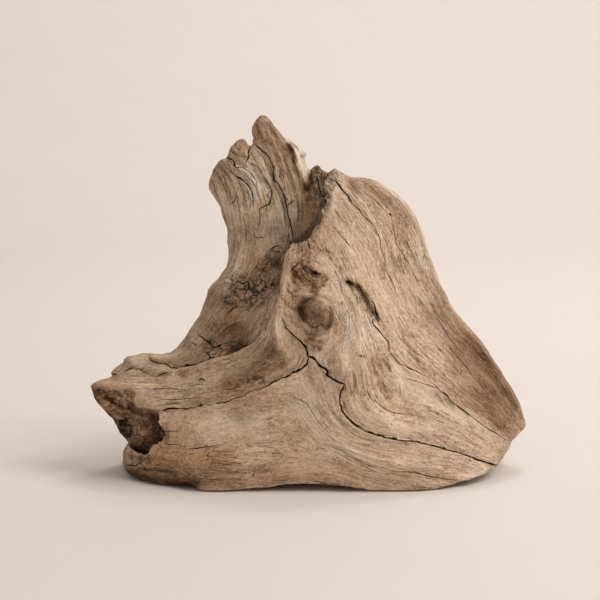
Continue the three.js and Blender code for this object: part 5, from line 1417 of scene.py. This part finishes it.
    # dark: the stroke darkness, plus painted shade in the grooves, at the layer edges of the prong, in the low chips of
    # crackled and torn places and in the low lumps of the back
    dark = tone[:, 0] + 0.28 * groove + 0.45 * ledge + 0.22 * cells * smooth(0.2, 1.2, -chip) + 0.14 * smooth(0.3, 1.6, -chip) * torn + backside * 0.12 * smooth(0.2, 1.5, -lump)
    warm = tone[:, 1] + 0.20 * backside * smooth(0.3, 1.4, -low)
    A0 = np.column_stack([al, ll, Ys])
    A1 = np.column_stack([calm, g2, g3])
    A2 = np.column_stack([np.clip(crack_shade, 0, 1), np.clip(warm, 0, 1.2), np.clip(dark, -0.5, 1.2)])
    A3 = np.column_stack([grey, np.clip(tone[:, 3], -0.5, 1), np.clip(torn, 0, 1)])
    return P / 1000.0, T, {"fibre": A0, "grain": A1, "stain_and_shade": A2, "wear_and_light": A3}


def make_object(node, P, T, attrs, material):
    me = bpy.data.meshes.new(node + "_wood")
    me.vertices.add(len(P))
    me.vertices.foreach_set("co", P.astype(np.float32).ravel())
    me.loops.add(3 * len(T))
    me.loops.foreach_set("vertex_index", T.astype(np.int32).ravel())
    me.polygons.add(len(T))
    me.polygons.foreach_set("loop_start", np.arange(0, 3 * len(T), 3, dtype=np.int32))
    me.update(calc_edges=True)
    me.validate()
    me.polygons.foreach_set("use_smooth", np.ones(len(me.polygons), bool))
    # sharp where two faces meet at a steep angle
    ne = len(me.edges)
    ev = np.empty(2 * ne, np.int32)
    me.edges.foreach_get("vertices", ev)
    ev = np.sort(ev.reshape(-1, 2), axis=1).astype(np.int64)
    a, b, te = edge_table(T, len(P))
    fn = np.cross(P[T[:, 1]] - P[T[:, 0]], P[T[:, 2]] - P[T[:, 0]])
    fn /= np.maximum(np.sqrt((fn ** 2).sum(1)), 1e-15)[:, None]
    order = np.argsort(te.ravel(), kind="stable")
    eid = te.ravel()[order]
    tri = np.repeat(np.arange(len(T)), 3)[order]
    start = np.searchsorted(eid, np.arange(len(a)))
    count = np.diff(np.append(start, len(eid)))
    sharp = np.ones(len(a), bool)
    two = count == 2
    t0, t1 = tri[start[two]], tri[start[two] + 1]
    sharp[two] = (fn[t0] * fn[t1]).sum(1) < math.cos(math.radians(62))
    key = a * len(P) + b
    pos = np.searchsorted(key, ev[:, 0] * len(P) + ev[:, 1])
    pos = np.clip(pos, 0, len(key) - 1)
    flag = sharp[pos] & (key[pos] == ev[:, 0] * len(P) + ev[:, 1])
    at = me.attributes.new("sharp_edge", "BOOLEAN", "EDGE")
    at.data.foreach_set("value", flag)
    for name, val in attrs.items():
        at = me.attributes.new(name, "FLOAT_VECTOR", "POINT")
        at.data.foreach_set("vector", val.astype(np.float32).ravel())
    me.materials.append(material)
    ob = bpy.data.objects.new(node + "_wood", me)
    bpy.context.scene.collection.objects.link(ob)
    return ob


# ------------------------------------------------------------------ wood finish
class Nodes:
    def __init__(self, mat):
        mat.use_nodes = True
        self.t = mat.node_tree
        self.t.nodes.clear()

    def new(self, kind, **sets):
        n = self.t.nodes.new(kind)
        for k, v in sets.items():
            setattr(n, k, v)
        return n

    def link(self, a, b):
        self.t.links.new(a, b)

    def feed(self, sock, v):
        if isinstance(v, (int, float, tuple, list)):
            sock.default_value = v
        else:
            self.link(v, sock)

    def math(self, op, a, b=0.0, c=0.0, clamp=False):
        n = self.new("ShaderNodeMath", operation=op, use_clamp=clamp)
        for s, v in zip(n.inputs, (a, b, c)):
            self.feed(s, v)
        return n.outputs[0]

    def mad(self, a, k, c):
        return self.math("MULTIPLY_ADD", a, k, c)

    def sep(self, name):
        a = self.new("ShaderNodeAttribute", attribute_name=name)
        s = self.new("ShaderNodeSeparateXYZ")
        self.link(a.outputs["Vector"], s.inputs[0])
        return s.outputs[0], s.outputs[1], s.outputs[2]

    def times(self, vec, by):
        n = self.new("ShaderNodeVectorMath", operation="MULTIPLY")
        self.link(vec, n.inputs[0])
        n.inputs[1].default_value = by
        return n.outputs[0]

    def mix(self, fac, a, b, blend="MIX"):
        n = self.new("ShaderNodeMix", data_type="RGBA", blend_type=blend)
        n.clamp_factor = True
        self.feed(n.inputs["Factor"], fac)
        for name, v in (("A", a), ("B", b)):
            sock = [s for s in n.inputs if s.name == name and s.type == "RGBA"][0]
            self.feed(sock, v)
        return [s for s in n.outputs if s.type == "RGBA"][0]

    def noise(self, vec, scale, detail, rough=0.55, w=None, dist=0.0):
        n = self.new("ShaderNodeTexNoise", noise_dimensions="4D" if w is not None else "3D")
        self.link(vec, n.inputs["Vector"])
        if w is not None:
            self.link(w, n.inputs["W"])
        n.inputs["Scale"].default_value = scale
        n.inputs["Detail"].default_value = detail
        n.inputs["Roughness"].default_value = rough
        n.inputs["Distortion"].default_value = dist
        return n.outputs["Fac"]


def srgb(r, g, b):
    def lin(c):
        c /= 255.0
        return c / 12.92 if c <= 0.04045 else ((c + 0.055) / 1.055) ** 2.4
    return (lin(r), lin(g), lin(b), 1.0)


def wood(name, shade, warmth):
    mat = bpy.data.materials.new(name)
    N = Nodes(mat)
    calm, g2, g3 = N.sep("grain")
    crack_shade, warm, dark = N.sep("stain_and_shade")
    # grey weathering; light, which holds both paler wood and painted highlight; torn texture
    grey, light, torn = N.sep("wear_and_light")
    co = N.new("ShaderNodeTexCoord").outputs["Object"]
    fibre = N.new("ShaderNodeAttribute", attribute_name="fibre").outputs["Vector"]
    hair = N.noise(N.times(fibre, (1.0, 0.045, 1.0)), 0.34, 3.0, 0.5)
    fib = N.noise(N.times(fibre, (1.0, 0.050, 1.0)), 0.88, 4.0, 0.68)
    fine = N.noise(N.times(fibre, (1.0, 0.10, 1.0)), 2.3, 2.0, 0.65)
    band = N.noise(N.times(fibre, (1.0, 0.12, 1.0)), 0.13, 2.0, 0.5)
    speck = N.noise(co, 1350.0, 2.0, 0.7)
    pit = N.noise(co, 600.0, 3.0, 0.65)
    mottle = N.noise(co, 150.0, 4.0, 0.62)
    blotch = N.noise(co, 34.0, 4.0, 0.6)
    t = N.mad(g2, 0.020, 0.5)
    t = N.mad(g3, 0.016, t)
    t = N.mad(N.math("MULTIPLY", N.math("SUBTRACT", fib, 0.5), calm), 1.05, t)
    t = N.mad(N.math("MULTIPLY", N.math("SUBTRACT", fine, 0.5), N.mad(calm, 0.6, 0.4)), 0.95, t)
    t = N.mad(N.math("SUBTRACT", band, 0.5), 0.28, t)
    t = N.mad(N.math("SUBTRACT", speck, 0.5), 0.55, t)
    t = N.mad(N.math("SUBTRACT", pit, 0.5), 0.50, t)
    t = N.mad(N.math("SUBTRACT", mottle, 0.5), 0.34, t)
    t = N.mad(N.math("SUBTRACT", blotch, 0.5), 0.36, t)
    t = N.mad(light, 0.30, t)
    t = N.mad(dark, -0.22, t)
    ramp = N.new("ShaderNodeValToRGB")
    N.link(t, ramp.inputs["Fac"])
    cr = ramp.color_ramp
    stops = [(0.0, srgb(86, 65, 50)), (0.25, srgb(146, 119, 96)), (0.5, srgb(204, 178, 153)), (0.72, srgb(227, 206, 185)), (1.0, srgb(246, 234, 220))]
    cr.elements[0].position, cr.elements[0].color = stops[0]
    cr.elements[1].position, cr.elements[1].color = stops[-1]
    for p, c in stops[1:-1]:
        el = cr.elements.new(p)
        el.color = c
    col = ramp.outputs["Color"]
    # the piece's multiplier, which also paints shade on the horn and the arm
    col = N.mix(1.0, col, shade, "MULTIPLY")
    # light values above 0.6 turn towards cream: the painted highlight on the horn's right face, and pale wood
    col = N.mix(N.math("MULTIPLY", N.math("SUBTRACT", light, 0.6, clamp=True), 1.8, clamp=True), col, srgb(236, 221, 202))
    # warm stain, in patches of its own
    wmask = N.math("MULTIPLY", warm, N.mad(N.math("SUBTRACT", mottle, 0.5), 1.6, 1.0), clamp=True)
    wmask = N.math("ADD", wmask, N.math("MULTIPLY", N.math("SUBTRACT", N.noise(co, 55.0, 3.0, 0.6), 0.52, clamp=True), warmth), clamp=True)
    col = N.mix(wmask, col, N.mix(1.0, col, (0.98, 0.72, 0.48, 1.0), "MULTIPLY"))
    gmask = N.math("MULTIPLY", grey, N.mad(N.math("SUBTRACT", mottle, 0.5), 2.0, 0.9), clamp=True)
    col = N.mix(gmask, col, N.mix(1.0, col, (0.84, 0.94, 1.06, 1.0), "MULTIPLY"))
    # the dark channel: stains, knot rings and painted shade
    dk = N.math("MULTIPLY", dark, N.mad(N.math("SUBTRACT", mottle, 0.5), 1.4, 0.85), clamp=True)
    col = N.mix(dk, col, N.mix(1.0, col, (0.24, 0.19, 0.155, 1.0), "MULTIPLY"))
    # fine dark pores, and hairlines in bundles along the fibres
    pore = N.math("MULTIPLY", N.math("SUBTRACT", 0.41, fib, clamp=True), 7.0, clamp=True)
    pore = N.math("MULTIPLY", pore, N.mad(N.math("SUBTRACT", mottle, 0.5), 2.6, 0.55), clamp=True)
    col = N.mix(N.math("MULTIPLY", pore, 0.48), col, srgb(92, 68, 50))
    bundle = N.math("MULTIPLY", N.math("SUBTRACT", N.noise(co, 75.0, 3.0, 0.6), 0.42, clamp=True), 8.0, clamp=True)
    line = N.math("MULTIPLY", N.math("SUBTRACT", 0.019, N.math("ABSOLUTE", N.math("SUBTRACT", hair, 0.5)), clamp=True), 85.0, clamp=True)
    line = N.math("MULTIPLY", N.math("MULTIPLY", line, bundle), N.math("MULTIPLY", N.math("SUBTRACT", calm, 0.2), 1.6, clamp=True))
    col = N.mix(N.math("MULTIPLY", line, 0.70), col, srgb(64, 46, 33))
    # crackled and torn places, with painted shade in their fine cracks
    vor = N.new("ShaderNodeTexVoronoi", feature="DISTANCE_TO_EDGE")
    warp = N.new("ShaderNodeVectorMath", operation="SCALE")
    wn = N.new("ShaderNodeTexNoise")
    N.link(co, wn.inputs["Vector"])
    wn.inputs["Scale"].default_value = 190.0
    N.link(wn.outputs["Color"], warp.inputs[0])
    warp.inputs["Scale"].default_value = 0.006
    add = N.new("ShaderNodeVectorMath", operation="ADD")
    N.link(co, add.inputs[0])
    N.link(warp.outputs[0], add.inputs[1])
    N.link(add.outputs[0], vor.inputs["Vector"])
    vor.inputs["Scale"].default_value = 260.0
    crackle = N.math("MULTIPLY", N.math("SUBTRACT", 0.075, vor.outputs["Distance"], clamp=True), 17.0, clamp=True)
    crackle = N.math("MULTIPLY", crackle, N.math("MULTIPLY", N.math("SUBTRACT", torn, 0.15, clamp=True), 2.0, clamp=True), clamp=True)
    crackle = N.math("MULTIPLY", crackle, N.mad(N.math("SUBTRACT", mottle, 0.45), 3.0, 0.6), clamp=True)
    col = N.mix(N.math("MULTIPLY", crackle, 0.75), col, srgb(48, 34, 25))
    # painted shade inside the checks and crackle splits
    col = N.mix(N.math("MULTIPLY", crack_shade, 1.25, clamp=True), col, srgb(34, 24, 17))
    bs = N.new("ShaderNodeBsdfPrincipled")
    N.link(col, bs.inputs["Base Color"])
    N.link(N.mad(fib, -0.12, 0.94), bs.inputs["Roughness"])
    bs.inputs["Specular IOR Level"].default_value = 0.18
    h = N.math("MULTIPLY", fib, 0.6)
    h = N.mad(fine, 0.9, h)
    h = N.mad(speck, 0.55, h)
    h = N.mad(pit, 0.65, h)
    h = N.mad(mottle, 0.6, h)
    h = N.mad(crackle, -1.2, h)
    h = N.mad(line, -1.0, h)
    h = N.mad(pore, -0.3, h)
    bump = N.new("ShaderNodeBump")
    bump.inputs["Strength"].default_value = 0.6
    bump.inputs["Distance"].default_value = 0.0007
    N.link(h, bump.inputs["Height"])
    N.link(bump.outputs[0], bs.inputs["Normal"])
    out = N.new("ShaderNodeOutputMaterial")
    N.link(bs.outputs[0], out.inputs["Surface"])
    return mat


# each piece's colour multiplier and share of warm patches; the lower multipliers of the horn and the arm are partly
# painted shade, on parts that face away from the key light, and partly their darker wood
FINISH = {
    "horn": ("horn_wood", (0.855, 0.845, 0.818, 1.0), 0.5),
    "fan": ("fan_wood", (0.975, 0.96, 0.93, 1.0), 0.7),
    "root_arm": ("arm_wood", (0.875, 0.86, 0.83, 1.0), 0.8),
    "lower_slab": ("slab_wood", (0.965, 0.94, 0.91, 1.0), 0.7),
}
for node in NODES:
    slot, shade, warmth = FINISH[node]
    P, T, attrs = build(node)
    ob = make_object(node, P, T, attrs, wood(slot, shade, warmth))
    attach(ob, "root")
    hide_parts(node)
    print(node, len(P), "points", len(T), "faces")


# ------------------------------------------------------------------ floor, light, camera
def sweep():
    """a pale floor that curves up into a wall all round"""
    prof = [(0.0, 0.0), (0.25, 0.0), (0.6, 0.0), (1.0, 0.0), (1.5, 0.0)]
    for k in range(1, 25):
        a = math.pi / 2 * k / 24
        prof.append((1.5 + 1.4 * math.sin(a), 1.4 * (1 - math.cos(a))))
    prof.append((2.9, 4.0))
    n = 96
    vs = [(0.0, 0.0, 0.0)]
    for r, z in prof[1:]:
        for k in range(n):
            a = 2 * math.pi * k / n
            vs.append((r * math.cos(a), r * math.sin(a), z))
    fs = [(0, 1 + k, 1 + (k + 1) % n) for k in range(n)]
    for j in range(len(prof) - 2):
        o = 1 + j * n
        for k in range(n):
            k2 = (k + 1) % n
            fs.append((o + k, o + n + k, o + n + k2, o + k2))
    me = bpy.data.meshes.new("floor")
    me.from_pydata(vs, [], fs)
    me.polygons.foreach_set("use_smooth", np.ones(len(me.polygons), bool))
    ob = bpy.data.objects.new("floor", me)
    bpy.context.scene.collection.objects.link(ob)
    mat = bpy.data.materials.new("pale_floor")
    N = Nodes(mat)
    co = N.new("ShaderNodeTexCoord").outputs["Object"]
    m = N.noise(co, 9.0, 4.0, 0.6)
    col = N.mix(m, (0.735, 0.678, 0.632, 1.0), (0.760, 0.703, 0.657, 1.0))
    bs = N.new("ShaderNodeBsdfPrincipled")
    N.link(col, bs.inputs["Base Color"])
    bs.inputs["Roughness"].default_value = 0.95
    bs.inputs["Specular IOR Level"].default_value = 0.1
    out = N.new("ShaderNodeOutputMaterial")
    N.link(bs.outputs[0], out.inputs["Surface"])
    me.materials.append(mat)
    return ob


def area(name, at, to, size, watts, colour):
    d = bpy.data.lights.new(name, "AREA")
    d.shape = "DISK"
    d.size = size
    d.energy = watts
    d.color = colour
    ob = bpy.data.objects.new(name, d)
    ob.location = at
    ob.rotation_euler = (Vector(to) - Vector(at)).to_track_quat("-Z", "Y").to_euler()
    bpy.context.scene.collection.objects.link(ob)
    return ob


sweep()
area("key", (1.15, -0.45, 1.45), (0.0, 0.0, 0.1), 1.1, 21.0, (1.0, 0.985, 0.965))
area("fill", (-0.5, -2.0, 1.3), (0.0, 0.0, 0.1), 3.0, 6.4, (1.0, 0.99, 0.98))
area("wall", (0.5, 0.9, 2.4), (0.4, 2.6, 0.9), 1.2, 33.0, (1.0, 0.985, 0.97))
world = bpy.data.worlds.new("studio")
bpy.context.scene.world = world
world.use_nodes = True
bg = world.node_tree.nodes["Background"]
bg.inputs["Color"].default_value = (1.0, 0.99, 0.98, 1.0)
bg.inputs["Strength"].default_value = 0.46

cam_data = bpy.data.cameras.new("front")
cam_data.lens = 85.0
cam_data.sensor_width = 36.0
cam_data.clip_start = 0.02
cam = bpy.data.objects.new("front", cam_data)
f = Vector((0.0, CE, -SE))
aim = Vector(((AIM[0] + SHIFT[0]) / 1000, (AIM[1] + SHIFT[1]) / 1000, AIM[2] / 1000))
cam.location = aim - f * (DIST / 1000)
cam.rotation_euler = f.to_track_quat("-Z", "Y").to_euler()
bpy.context.scene.collection.objects.link(cam)
bpy.context.scene.camera = cam
bpy.context.scene.view_settings.view_transform = "Standard"
bpy.context.scene.view_settings.look = "None"
